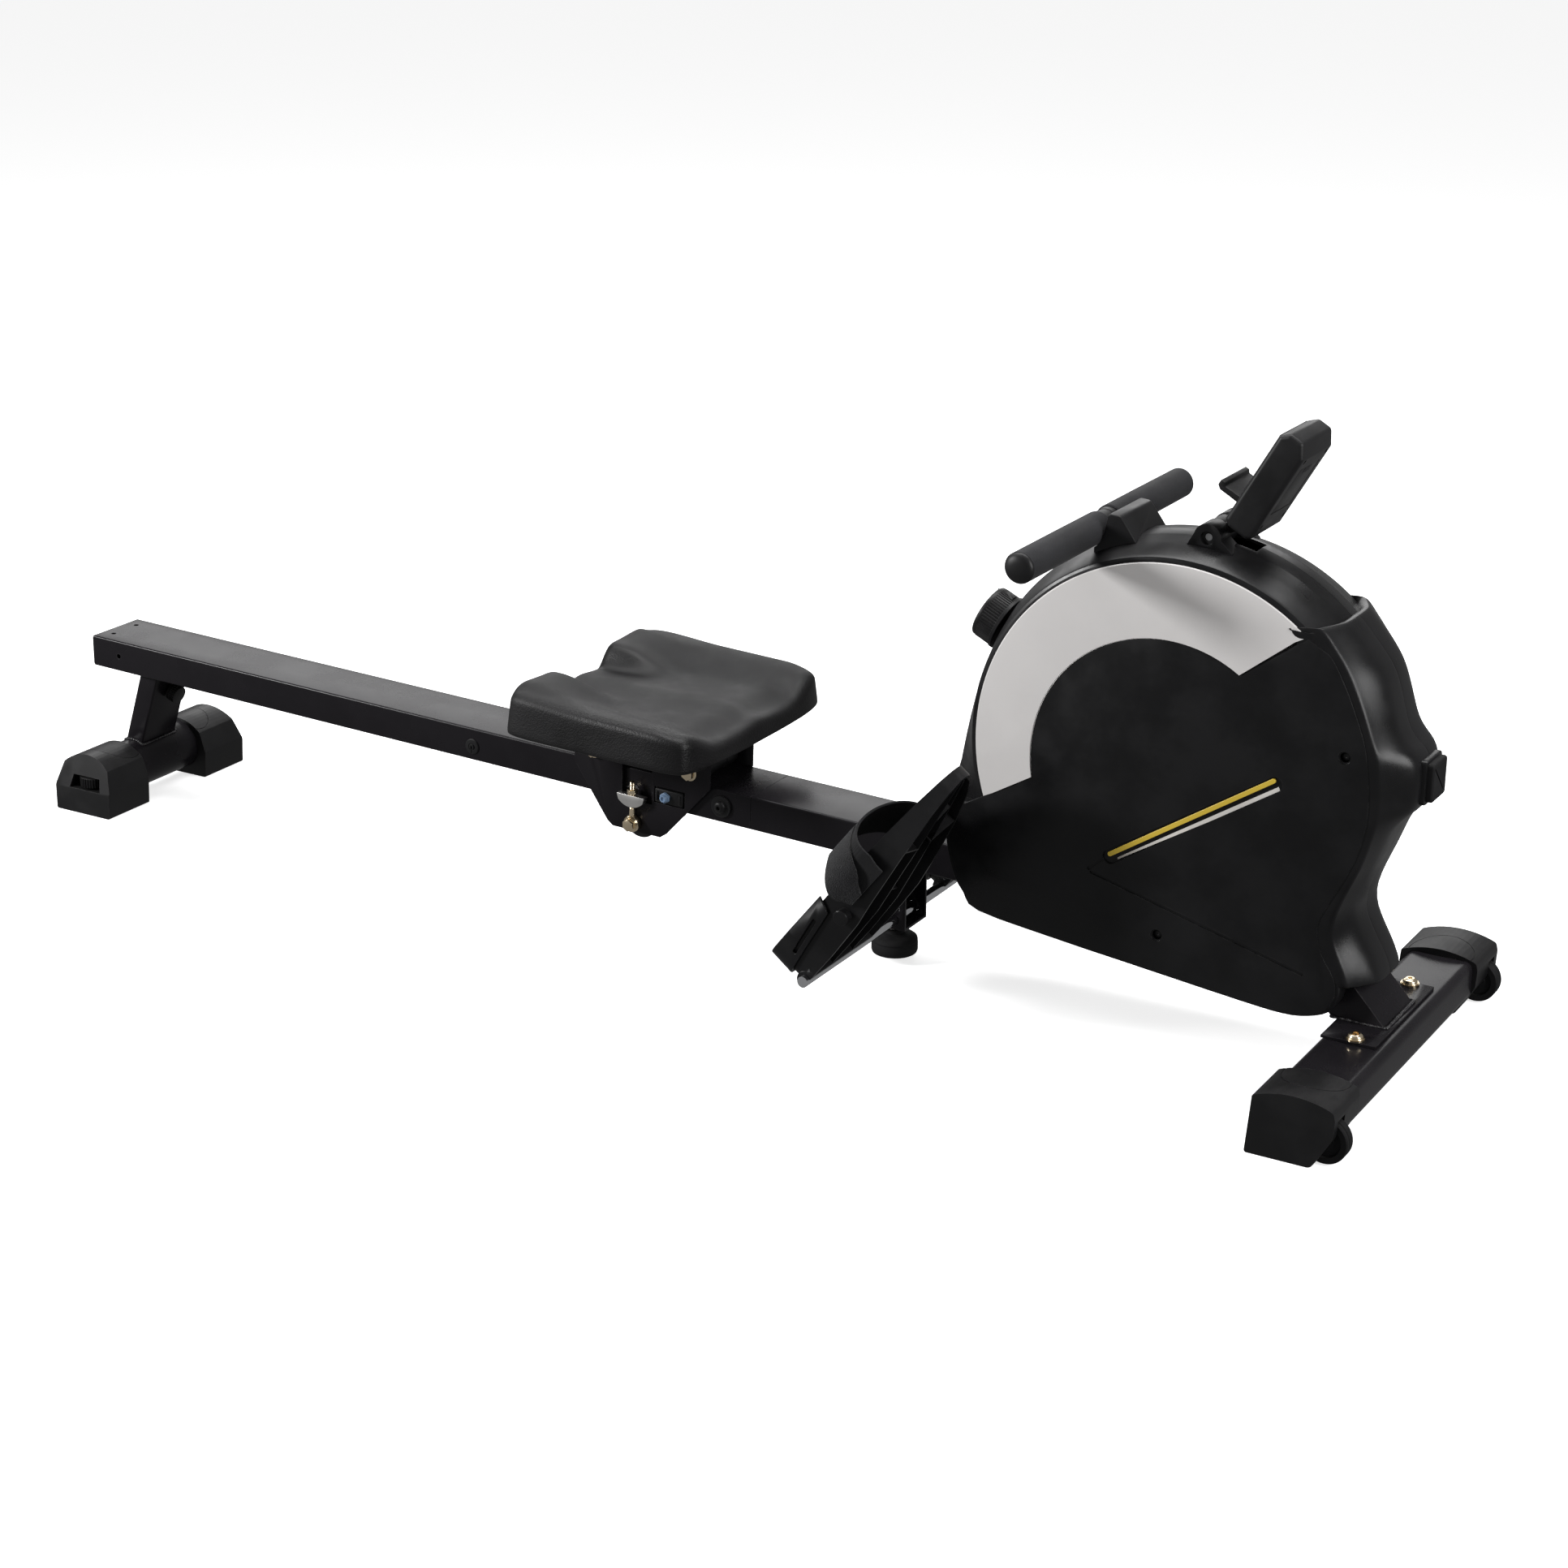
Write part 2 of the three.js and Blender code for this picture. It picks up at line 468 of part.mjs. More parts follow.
// ---------------------------------------------------------------- drive inside the covers
function makeDrive() {
  const lug = MAGNET.pivotDeg * Math.PI / 180;
  const pivot = [FLYWHEEL.x + MAGNET.pivotR * Math.cos(lug), FLYWHEEL.z + MAGNET.pivotR * Math.sin(lug)];
  const tube = box(BEAM_END_X + 2, POST.topX - GAP, -30, 30, 118, 158);
  const side = [
    [1255, 150], [1470, 150], [pivot[0] + 12, pivot[1] - 6], [pivot[0] - 4, pivot[1] + 12],
    [1425, 315], [1305, 346], [1275, 346],
  ];
  const boreAt = (x, z, r) => barY(x, z, -70, 70, r);
  const sides = SIDE_PLATES_Y.map(([y0, y1]) => plate(side, y0, y1));
  const tie = box(1262, 1290, -18, 31, 150, 176);
  const tubeRoom = box(BEAM_END_X, POST.topX, -28, 28, 120, 156);
  const bores = [
    boreAt(FLYWHEEL.x, FLYWHEEL.z, FLYWHEEL.axle + GAP), boreAt(REEL.x, REEL.z, REEL.axle + GAP),
    boreAt(pivot[0], pivot[1], MAGNET.pin + GAP),
  ];
  const frame = cut(join(tube, tie, ...sides), tubeRoom, ...bores);
  add('inner_frame', 'paint', frame);

  const disc = barY(FLYWHEEL.x, FLYWHEEL.z, FLYWHEEL.y0, FLYWHEEL.y1, FLYWHEEL.r, 40);
  const hub = barY(FLYWHEEL.x, FLYWHEEL.z, FLYWHEEL.y1, FLYWHEEL.y1 + 7, 16);
  add('flywheel', 'steel', cut(join(disc, hub), bores[0]));
  const small = barY(FLYWHEEL.x, FLYWHEEL.z, BELT_Y[0], BELT_Y[1], AXLE_PULLEY_R);
  const nuts = [[33.5, 38], [-54, -48.5]].map(([y0, y1]) => barY(FLYWHEEL.x, FLYWHEEL.z, y0, y1, 10, 6));
  const axle = join(barY(FLYWHEEL.x, FLYWHEEL.z, -54, 38, FLYWHEEL.axle), small, ...nuts);
  add('flywheel_axle', 'steel', axle);

  const drum = join(
    barY(REEL.x, REEL.z, -REEL.half, BELT_Y[0], REEL.drum, 20),
    barY(REEL.x, REEL.z, -REEL.half - 2, -REEL.half, REEL.flange, 20),
    barY(REEL.x, REEL.z, REEL.half, REEL.half + 2, REEL.flange, 20),
    barY(REEL.x, REEL.z, BELT_Y[0], BELT_Y[1], REEL.pulley, 28),
    barY(REEL.x, REEL.z, -24, 37, REEL.axle),
  );
  add('strap_reel', 'plastic', drum);

  const outerBelt = beltOutline(2.3);
  const innerBelt = beltOutline(GAP);
  add('drive_belt', 'rubber', cut(plate(outerBelt, BELT_Y[0] + 1, BELT_Y[1] - 1), plate(innerBelt, 0, 40)));

  const curved = (r0, r1, from, to, steps) => [
    ...arc(FLYWHEEL.x, FLYWHEEL.z, r1, from, to, steps), ...arc(FLYWHEEL.x, FLYWHEEL.z, r0, to, from, steps),
  ];
  const shoe = plate(curved(MAGNET.r0, MAGNET.r1, 52, 118, 10), MAGNET.y0, MAGNET.y1);
  const arm = plate(curved(MAGNET.r0 + 3, MAGNET.r1 + 8, 36, 60, 6), MAGNET.y1 - 5, MAGNET.y1);
  const pin = barY(pivot[0], pivot[1], MAGNET.y1 - 2, -13, MAGNET.pin, 16);
  add('magnet_arm', 'steel', join(shoe, arm, pin));
}

// Outline of the belt wrapped round both pulleys, a distance outside their rims.
function beltOutline(out) {
  const dx = FLYWHEEL.x - REEL.x;
  const dz = FLYWHEEL.z - REEL.z;
  const span = Math.hypot(dx, dz);
  const tilt = Math.atan2(dz, dx) * 180 / Math.PI;
  const wrap = Math.acos((REEL.pulley - AXLE_PULLEY_R) / span) * 180 / Math.PI;
  return [
    ...arc(REEL.x, REEL.z, REEL.pulley + out, tilt + wrap, tilt + 360 - wrap, 24),
    ...arc(FLYWHEEL.x, FLYWHEEL.z, AXLE_PULLEY_R + out, tilt - wrap, tilt + wrap, 10),
  ];
}

// ---------------------------------------------------------------- resistance knob
// A point on the knob's axis, a distance from the centre of the ring.
function knobPoint(distance) {
  return [RING.x + Math.cos(KNOB.angle) * distance, 0, RING.z + Math.sin(KNOB.angle) * distance];
}

function makeResistanceKnob() {
  const base = RING.crown + 1;
  const flange = bar(knobPoint(base), knobPoint(base + 4), KNOB.r + 1, 24);
  const grip = bar(knobPoint(base + 4), knobPoint(base + KNOB.height), KNOB.r, 24, KNOB.r - 2);
  const shaft = bar(knobPoint(200), knobPoint(base + 2), KNOB.shaft, 12);
  add('resistance_knob', 'plastic', join(flange, grip, shaft));
}

// ---------------------------------------------------------------- handle, cradle and strap
function makeHandle() {
  const { x, z, core, grip, gripIn, gripOut, half } = HANDLE;
  const ends = [-1, 1].map((side) => barSide(side, x, z, gripOut + GAP, half, grip - 0.5, 20));
  const collar = barY(x, z, -gripIn + GAP, gripIn - GAP, grip - 2, 20);
  const strapEye = box(x - 4, x + 4, -12, 12, z - 17, z - 6);
  add('handle_bar', 'plastic', join(barY(x, z, -half + 1, half - 1, core), collar, ...ends, strapEye));
  const sleeve = cut(barY(x, z, -gripOut, -gripIn, grip, 24), barY(x, z, -gripOut - 1, 0, core + GAP));
  addPair('handle_grip', 'foam', sleeve);
  add('pull_strap', 'webbing', box(1318.4, 1320, -11.5, 11.5, 322, z - 17 - GAP));
}

function makeCradle() {
  const outline = [
    [1296, 470], [1372, 470], [1372, 505], [1352, 531], [1346, 534], [1338, 534], [1334, 528], [1333, 514],
    [1322, 497], [1306, 497], [1298, 500],
  ];
  const half = coverSolid(GAP, 1);
  const covers = join(half, mirrorY(half));
  const strapWay = box(1311, 1327, -15, 15, 470, 520);
  const seatWay = barY(HANDLE.x, HANDLE.z, -60, 60, HANDLE.grip + 0.6, 28);
  const block = cut(plate(outline, -36, 36), covers, strapWay, seatWay, box(1290, 1372, -24, 24, 470, 498));
  const ahead = block.intersect(box(HANDLE.x + 6, 1400, -40, 40, 460, 560));
  add('handle_cradle', 'plastic', ahead);
}

// ---------------------------------------------------------------- console
// Local frame: s runs up the slab from its lower end, n points out of the display towards the rower.
function consolePoint(s, n) {
  const { pivotX, pivotZ, lean } = CONSOLE;
  const foot = [pivotX + 29, pivotZ + 10];
  const up = [Math.cos(lean), Math.sin(lean)];
  return [foot[0] + s * up[0] - n * up[1], foot[1] + s * up[1] + n * up[0]];
}

// An outline of [s, n] points pushed along Y.
function consolePlate(points, half) {
  const outline = points.map(([s, n]) => consolePoint(s, n));
  return plate(outline.reverse(), -half, half);
}

// A rectangle of the slab between two heights and two depths.
const consoleBlock = (s0, s1, n0, n1, half) => consolePlate([[s0, n0], [s1, n0], [s1, n1], [s0, n1]], half);

// A round piece standing on the display face at height s, between two depths.
function consoleBar(s, n0, n1, r) {
  const a = consolePoint(s, n0);
  const b = consolePoint(s, n1);
  return bar([a[0], 0, a[1]], [b[0], 0, b[1]], r, 20);
}

function makeConsole() {
  const { pivotX, pivotZ, half, length, thick } = CONSOLE;
  const t = thick / 2;
  const section = [
    [4, -t], [length - 14, -t], [length, -t + 9], [length, t - 8], [length - 8, t], [5, t],
    [0, t - 6], [0, -t + 5],
  ];
  const body = consolePlate(section, half);
  const neckOutline = [
    [pivotX - 7, pivotZ + 2], [pivotX + 8, pivotZ - 2], consolePoint(8, -6), consolePoint(8, 8),
  ];
  const neck = plate(neckOutline, -HINGE.gap + 1, HINGE.gap - 1);
  const knuckle = barY(pivotX, pivotZ, -HINGE.gap + 1, HINGE.gap - 1, HINGE.r - 1, 28);
  const shelf = consolePlate([[22, t - 1], [30, t - 1], [30, t + 22], [27, t + 25], [22, t + 25]], 30);
  const window = consoleBlock(WINDOW.s0, WINDOW.s1, t - WINDOW.deep, t + 3, WINDOW.half);
  const keyWay = consoleBar(KEY.s, t - 7, t + 3, KEY.r + 0.4);
  const batteryWay = consoleBlock(DOOR.s0, DOOR.s1, -t - 3, -t + DOOR.deep, DOOR.half);
  const bores = barY(pivotX, pivotZ, -60, 60, HINGE.pin + GAP, 16);
  add('console_housing', 'plastic', cut(join(body, neck, knuckle, shelf), window, keyWay, batteryWay, bores));

  const lens = consoleBlock(WINDOW.s0 + GAP, WINDOW.s1 - GAP, t - 2.1, t - 0.3, WINDOW.half - GAP);
  add('console_display', 'glass', lens);
  add('console_button', 'rubber', consoleBar(KEY.s, t - 4.5, t + 1.5, KEY.r));
  const door = consoleBlock(DOOR.s0 + GAP, DOOR.s1 - GAP, -t + 0.1, -t + 2.1, DOOR.half - GAP);
  add('battery_door', 'plastic', door);

  const covers = join(coverSolid(GAP, 1), mirrorY(coverSolid(GAP, 1)));
  const saddleOutline = [
    [1400, 480], [1462, 480], [1466, 512], [pivotX + 13, pivotZ], [pivotX, pivotZ + 13],
    [pivotX - 11, pivotZ + 8],
  ];
  const saddle = plate(saddleOutline, -HINGE.half, HINGE.half);
  const ears = join(saddle, barY(pivotX, pivotZ, -HINGE.half, HINGE.half, HINGE.r, 28));
  const turnWay = barY(pivotX, pivotZ, -HINGE.gap, HINGE.gap, HINGE.r + 0.4, 28);
  const neckWay = box(1426, 1480, -HINGE.gap, HINGE.gap, 500, 560);
  const sinks = [-1, 1].map((side) => barSide(side, pivotX, pivotZ, 31, 60, 7));
  add('console_mount', 'plastic', cut(ears, covers, neckWay, turnWay, bores, ...sinks));
  add('console_hinge_pin', 'steel', barY(pivotX, pivotZ, -30.6, 30.6, HINGE.pin, 16));
}

// ---------------------------------------------------------------- middle bracket, levelling foot, pedals
function makeMiddleSupport() {
  const { x0, x1, half, z0, wall } = BRACKET;
  const outline = [[x0, z0], [x1, z0], [x1, railUnderside(x1)], [x0, railUnderside(x0)]];
  const room = box(x0 + wall, x1 + 5, -half + wall, half - wall, z0 + wall, 200);
  const channel = cut(plate(outline, -half, half), room);
  const rodHole = barY(ROD.x, ROD.z, -40, 40, ROD.r + GAP);
  const studHole = bar([FOOT.x, 0, 30], [FOOT.x, 0, 60], 5.4, 12);
  add('middle_bracket', 'paint', cut(channel, rodHole, studHole));
  add('pedal_rod', 'chrome', barY(ROD.x, ROD.z, -ROD.half, ROD.half, ROD.r));

  const { r, bottom, side, dome } = FOOT;
  const profile = [
    [0, bottom], [r - 2, bottom], [r, bottom + 2], [r, side], [r - 7, side + 6], [9, dome], [5, dome],
    [5, 90], [0, 90],
  ];
  const nut = bar([0, 0, z0 - 8.6], [0, 0, z0 - GAP], 8.5, 6);
  add('leveling_foot', 'rubber', join(turned(profile, 20), nut).translate([FOOT.x, 0, 0]));
}

// Pedal outline in its own frame: x runs from heel to toe along the sole, z out of the sole.
function pedalOutline(out) {
  const { y, half, heel, toe } = PEDAL;
  const right = [
    [heel, half - 4], [30, half], [125, half], [185, half - 9], [232, half - 26], [258, half - 44],
    [toe, half - 58],
  ];
  const grow = right.map(([u, w]) => [u < 0 ? u - out : u + (u > 200 ? out : 0), w + out]);
  const other = grow.slice().reverse().map(([u, w]) => [u, -w]);
  return [...grow.map(([u, w]) => [u, -y - w]).reverse(), ...other.map(([u, w]) => [u, -y - w]).reverse()];
}

function makePedals() {
  const { y, half, heel, toe, sole, plate: thick, wall } = PEDAL;
  const side = [
    [heel, -3], [-7, -11], [10, -11], [95, 0], [190, 14], [toe + 5, 27], [toe + 5, sole],
    [heel - 5, sole], [heel - 5, 20],
  ];
  const silhouette = plate(side, -y - half - 5, -y + half + 5);
  const body = slab(pedalOutline(0), -20, 60).intersect(silhouette);
  const pocket = slab(pedalOutline(-wall), -30, sole - thick);
  const boss = barY(0, 0, -y - half + 2, -y + half - 2, PEDAL.boss);
  const ribs = [-22, 22].map((offset) => {
    const middle = -y + offset;
    return box(heel + 2, toe - 28, middle - 1.2, middle + 1.2, -8, sole - 2);
  });
  const ribSet = join(...ribs).intersect(silhouette).intersect(slab(pedalOutline(-1), -20, 60));
  const bore = barY(0, 0, -y - half - 10, -y + half + 10, ROD.r + GAP);
  const peg = barY(PEG.u, PEG.z, -y - half - PEG.reach, -y - half + 2, PEG.r, 12);
  addPair('pedal', 'plastic', cut(join(cut(body, pocket), boss, ribSet, peg), bore), pedalGroup);

  const band = cut(slab(pedalOutline(3.2), 8, sole + 4), slab(pedalOutline(GAP), 0, 60));
  const heelPart = band.intersect(box(heel - 20, 78, -y - half - 10, -y + half + 10, 0, 60));
  const bevel = plate([[-30, -10], [-30, 15], [80, 26], [80, -10]], -y - half - 20, -y + half + 20);
  addPair('heel_cup', 'plastic', cut(heelPart, bevel), pedalGroup);

  const outer = strapArch(STRAP.thick + 1);
  const inner = strapArch(1);
  const loop = cut(strapSolid(outer, STRAP.u0, STRAP.u1), strapSolid(inner, STRAP.u0 - 5, STRAP.u1 + 5));
  addPair('foot_strap', 'webbing', loop, pedalGroup);
}

// Half ellipse of the foot strap over the sole, as [y, z] points.
function strapArch(out) {
  const steps = 12;
  const foot = 14;
  const points = Array.from({ length: steps + 1 }, (_, i) => {
    const angle = Math.PI * i / steps;
    const reach = PEDAL.half + out;
    return [-PEDAL.y - reach * Math.cos(angle), PEDAL.sole + (STRAP.rise + out) * Math.sin(angle)];
  });
  return [[-PEDAL.y - PEDAL.half - out, foot], ...points, [-PEDAL.y + PEDAL.half + out, foot]];
}

function strapSolid(points, u0, u1) {
  const outline = new THREE.Shape(points.map(([y, z]) => new THREE.Vector2(y, z)));
  const geometry = new THREE.ExtrudeGeometry(outline, { depth: u1 - u0, bevelEnabled: false });
  const axes = [[0, 1, 0], [0, 0, 1], [1, 0, 0]].map((axis) => new THREE.Vector3(...axis));
  geometry.applyMatrix4(new THREE.Matrix4().makeBasis(...axes));
  geometry.translate(u0, 0, 0);
  return solid(geometry);
}

// ---------------------------------------------------------------- seat and carriage
function makeCarriage() {
  const { rearX, frontX, plateIn, plateOut, seatZ } = CARRIAGE;
  const { x, z, r } = LOWER_ROLLER;
  const sideOutline = [
    [rearX, -5], [755, -66], [762, -71], [824, -71], [831, -66], [frontX, -2],
    [frontX, seatZ], [rearX, seatZ],
  ];
  const block = plate(sideOutline, -plateOut, plateOut);
  const inside = box(rearX - 5, frontX + 5, -plateIn, plateIn, -90, seatZ - 3);
  const saddleWay = box(774, 813, -60, 60, -35, 7);
  const guideWay = box(816, 855, -60, 60, -31, -12);
  const upper = Object.entries(UPPER_ROLLER.at);
  const bores = upper.map(([, at]) => barY(at, UPPER_ROLLER.z, -60, 60, AXLE.hole, 16));
  const lift = 4.3;                    // height of the slot that lets the lower axle be drawn up
  const lowerSlot = join(
    barY(x, z, -60, 60, AXLE.hole, 16), barY(x, z + lift, -60, 60, AXLE.hole, 16),
    box(x - AXLE.hole, x + AXLE.hole, -60, 60, z, z + lift),
  );
  const bracket = cut(block, inside, saddleWay, guideWay, ...bores, lowerSlot);
  add('seat_bracket', 'paint', bracket, railGroup);

  upper.forEach(([end, at]) => {
    const heads = [-1, 1].map((side) => barSide(side, at, UPPER_ROLLER.z, plateOut + 0.5, 52, AXLE.head, 6));
    const wheel = barY(at, UPPER_ROLLER.z, -ROLLER_HALF, ROLLER_HALF, UPPER_ROLLER.r, 20);
    const shank = barY(at, UPPER_ROLLER.z, -49, 49, AXLE.r, 12);
    add(`upper_roller_${end}`, 'plastic', join(wheel, shank, ...heads), railGroup);
  });
  const roller = barY(x, z, -ROLLER_HALF, ROLLER_HALF, r, 24);
  add('lower_roller', 'plastic', cut(roller, barY(x, z, -40, 40, AXLE.hole, 12)), railGroup);
  const axleHeads = [-1, 1].map((side) => barSide(side, x, z, -EYEBOLT.y0 + GAP, 58, AXLE.head, 6));
  add('lower_roller_axle', 'zinc', join(barY(x, z, -58, 58, AXLE.r, 12), ...axleHeads), railGroup);

  const { y0, y1, eye, stem, stemY, top, nut } = EYEBOLT;
  const ring = cut(barY(x, z, y0, y1, eye, 14), barY(x, z, -60, -40, AXLE.hole, 12));
  const rod = bar([x, stemY, z + 8.3], [x, stemY, top], stem, 10);
  const collar = bar([x, stemY, -25.5], [x, stemY, -20], nut, 6);
  const saddle = cut(
    barY(x, -35, y0 + 0.5, y1, 15, 18),
    box(770, 810, -60, -40, -60, -31.6),
    box(770, 810, -60, -40, -25.8, 0),
  );
  addPair('tension_eyebolt', 'zinc', join(ring, rod, collar, saddle), railGroup);

  const guide = join(box(817, 854, y1, -RAIL.width / 2 - GAP, -30, -13), box(822, 840, stemY, y1, -27, -16));
  addPair('side_guide', 'plastic', guide, railGroup);
  add('seat_cushion', 'seat', makeSeat(seatZ + GAP), railGroup);
}

// Seat pad: a grid of heights with two dishes, a centre ridge and raised rear corners.
function makeSeat(bottom) {
  const { rear, length, half, thick } = SEAT;
  const columns = 12;
  const rows = 10;
  const edge = (v) => 1 - Math.min(1, Math.abs(v)) ** 6;
  const top = (u, v) => {
    const dish = 12 * Math.exp(-(((Math.abs(v) - 0.42) / 0.3) ** 2) - ((u + 0.1) / 0.55) ** 2);
    const rearRise = 8 * Math.max(0, -u) ** 2 * Math.min(1, Math.abs(v) * 1.6);
    const rim = 9 * Math.abs(v) ** 3;
    return bottom + thick + rearRise + rim - dish - 7 * (1 - edge(u) * edge(v));
  };
  const points = [];
  const shape = (i, j) => {
    const u = -1 + 2 * i / columns;
    const v = -1 + 2 * j / rows;
    const rounding = 1 - 0.09 * (Math.abs(u) ** 6) * (Math.abs(v) ** 4);
    return [rear + length * (0.5 + 0.5 * u * rounding), half * v * rounding, u, v];
  };
  for (const layer of ['top', 'bottom']) {
    for (let i = 0; i <= columns; i += 1) {
      for (let j = 0; j <= rows; j += 1) {
        const [x, y, u, v] = shape(i, j);
        points.push(x, y, layer === 'top' ? top(u, v) : bottom);
      }
    }
  }
  const size = (columns + 1) * (rows + 1);
  const at = (i, j, layer) => layer * size + i * (rows + 1) + j;
  const index = [];
  const quad = (a, b, c, d) => index.push(a, b, c, a, c, d);
  for (let i = 0; i < columns; i += 1) {
    for (let j = 0; j < rows; j += 1) {
      quad(at(i, j, 0), at(i + 1, j, 0), at(i + 1, j + 1, 0), at(i, j + 1, 0));
      quad(at(i, j, 1), at(i, j + 1, 1), at(i + 1, j + 1, 1), at(i + 1, j, 1));
    }
    quad(at(i, 0, 1), at(i + 1, 0, 1), at(i + 1, 0, 0), at(i, 0, 0));
    quad(at(i + 1, rows, 1), at(i, rows, 1), at(i, rows, 0), at(i + 1, rows, 0));
  }
  for (let j = 0; j < rows; j += 1) {
    quad(at(0, j + 1, 1), at(0, j, 1), at(0, j, 0), at(0, j + 1, 0));
    quad(at(columns, j, 1), at(columns, j + 1, 1), at(columns, j + 1, 0), at(columns, j, 0));
  }
  const geometry = new THREE.BufferGeometry();
  geometry.setAttribute('position', new THREE.BufferAttribute(new Float32Array(points), 3));
  geometry.setIndex(index);
  return solid(geometry);
}

makeRail();
makeRearLeg();
makeRearFeet();
makeFrontStabiliser();
makeFrontPost();
makeCovers();
makeNose();
makeDrive();
makeResistanceKnob();
makeHandle();
makeCradle();
makeConsole();
makeMiddleSupport();
makePedals();
makeCarriage();

export default machine;
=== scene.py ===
"""Magnetic rowing machine: finished pieces and finishes around the packed frame."""
import math
import bmesh
import bpy
from mathutils import Matrix, Vector


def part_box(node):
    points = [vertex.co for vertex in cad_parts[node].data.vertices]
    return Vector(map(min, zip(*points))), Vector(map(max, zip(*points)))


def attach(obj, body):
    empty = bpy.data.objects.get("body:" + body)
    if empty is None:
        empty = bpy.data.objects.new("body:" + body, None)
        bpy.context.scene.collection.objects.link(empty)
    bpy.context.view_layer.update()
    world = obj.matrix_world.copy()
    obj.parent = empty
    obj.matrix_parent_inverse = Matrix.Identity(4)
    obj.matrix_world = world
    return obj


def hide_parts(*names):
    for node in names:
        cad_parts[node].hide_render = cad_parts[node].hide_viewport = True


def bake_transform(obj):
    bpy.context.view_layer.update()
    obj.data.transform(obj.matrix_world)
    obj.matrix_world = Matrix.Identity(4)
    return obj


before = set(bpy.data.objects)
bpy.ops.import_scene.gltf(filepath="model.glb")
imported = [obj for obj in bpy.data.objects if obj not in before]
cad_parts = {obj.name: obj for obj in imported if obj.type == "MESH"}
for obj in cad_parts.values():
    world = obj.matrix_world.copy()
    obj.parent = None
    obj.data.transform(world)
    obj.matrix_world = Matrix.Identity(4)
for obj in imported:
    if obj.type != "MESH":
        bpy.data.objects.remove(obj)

bl_info = {
    "name": "Rowing Machine Builder",
    "version": (1, 0, 0),
    "blender": (4, 5, 0),
    "location": "View3D > Sidebar > Rower",
    "description": "Models a magnetic rowing machine piece by piece around its engineering frame",
    "category": "Add Mesh",
}

# ---------------------------------------------------------------- frame and measures
# Shapes are modelled in millimetres, with x from the rail's rear end, y to the rower's left and z up.
MM = 0.001
FULL_TURN = 2 * math.pi
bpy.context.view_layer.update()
ORIGIN_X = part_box("rear_foot_right")[0].x + 2 * MM
MACHINE = Matrix.Translation((ORIGIN_X, 0, 0)) @ Matrix.Scale(MM, 4)

RAIL_TOP, RAIL_SLOPE = 196.7, math.radians(1.82)
RAIL_HALF, RAIL_HEIGHT, RAIL_WALL = 40, 38, 2
RAIL_LENGTH, BEAM_END = 935, 1235
RAIL = MACHINE @ Matrix.Translation((0, 0, RAIL_TOP)) @ Matrix.Rotation(RAIL_SLOPE, 4, "Y")

ROD_X, ROD_Z, ROD_RADIUS, ROD_HALF = 1101, 55, 6, 215
PEDAL_Y, PEDAL_ANGLE = 145, math.radians(51.3)
PEDAL = MACHINE @ Matrix.Translation((ROD_X, 0, ROD_Z)) @ Matrix.Rotation(-PEDAL_ANGLE, 4, "Y")

RING_X, RING_Z = 1420, 294
CONSOLE_X, CONSOLE_Z, CONSOLE_LEAN = 1440, 524, math.radians(60)
CONSOLE = (
    MACHINE
    @ Matrix.Translation((CONSOLE_X + 29, 0, CONSOLE_Z + 10))
    @ Matrix.Rotation(-CONSOLE_LEAN, 4, "Y")
)


# ---------------------------------------------------------------- shape helpers
def arc(x, z, radius, start, end, steps):
    """Points of a circle's arc, with the angles in degrees."""
    turn = math.radians(end - start)
    first = math.radians(start)
    angles = [first + turn * i / steps for i in range(steps + 1)]
    return [(x + radius * math.cos(a), z + radius * math.sin(a)) for a in angles]


def rounded(corners, radius, steps=4):
    """An outline with each corner replaced by an arc; a corner may carry its own radius as a third value."""
    points = []
    count = len(corners)
    for i, corner in enumerate(corners):
        here = Vector(corner[:2])
        reach = corner[2] if len(corner) > 2 else radius
        before = Vector(corners[i - 1][:2]) - here
        after = Vector(corners[(i + 1) % count][:2]) - here
        half = before.angle(after) / 2
        length = min(reach / math.tan(half), before.length * 0.48, after.length * 0.48)
        if length < 0.05:
            points.append(tuple(here))
            continue
        a, b = here + before.normalized() * length, here + after.normalized() * length
        for k in range(steps + 1):
            t = k / steps
            points.append(tuple(a * (1 - t) ** 2 + here * 2 * t * (1 - t) + b * t * t))
    return points


def rectangle(x0, x1, z0, z1):
    return [(x0, z0), (x1, z0), (x1, z1), (x0, z1)]


def smoothstep(low, high, value):
    t = min(1.0, max(0.0, (value - low) / (high - low)))
    return t * t * (3 - 2 * t)


PLANES = {
    "x": lambda a, b, depth: (depth, a, b),
    "y": lambda a, b, depth: (a, depth, b),
    "z": lambda a, b, depth: (a, b, depth),
}


def extruded(bm, outline, low, high, along="y", edge=0.0, segments=2):
    """A prism of the outline between two depths along an axis, its two rims rounded by edge."""
    place = PLANES[along]
    face = bm.faces.new([bm.verts.new(place(a, b, low)) for a, b in outline])
    result = bmesh.ops.extrude_face_region(bm, geom=[face], use_keep_orig=True)
    moved = [g for g in result["geom"] if isinstance(g, bmesh.types.BMVert)]
    bmesh.ops.translate(bm, verts=moved, vec=Vector(place(0, 0, high - low)))
    top = [g for g in result["geom"] if isinstance(g, bmesh.types.BMFace)]
    if edge:
        rims = list({e for f in [face, *top] for e in f.edges})
        bmesh.ops.bevel(
            bm, geom=rims, offset=edge, segments=segments, profile=0.5,
            affect="EDGES", material=-1, clamp_overlap=True,
        )
    return bm


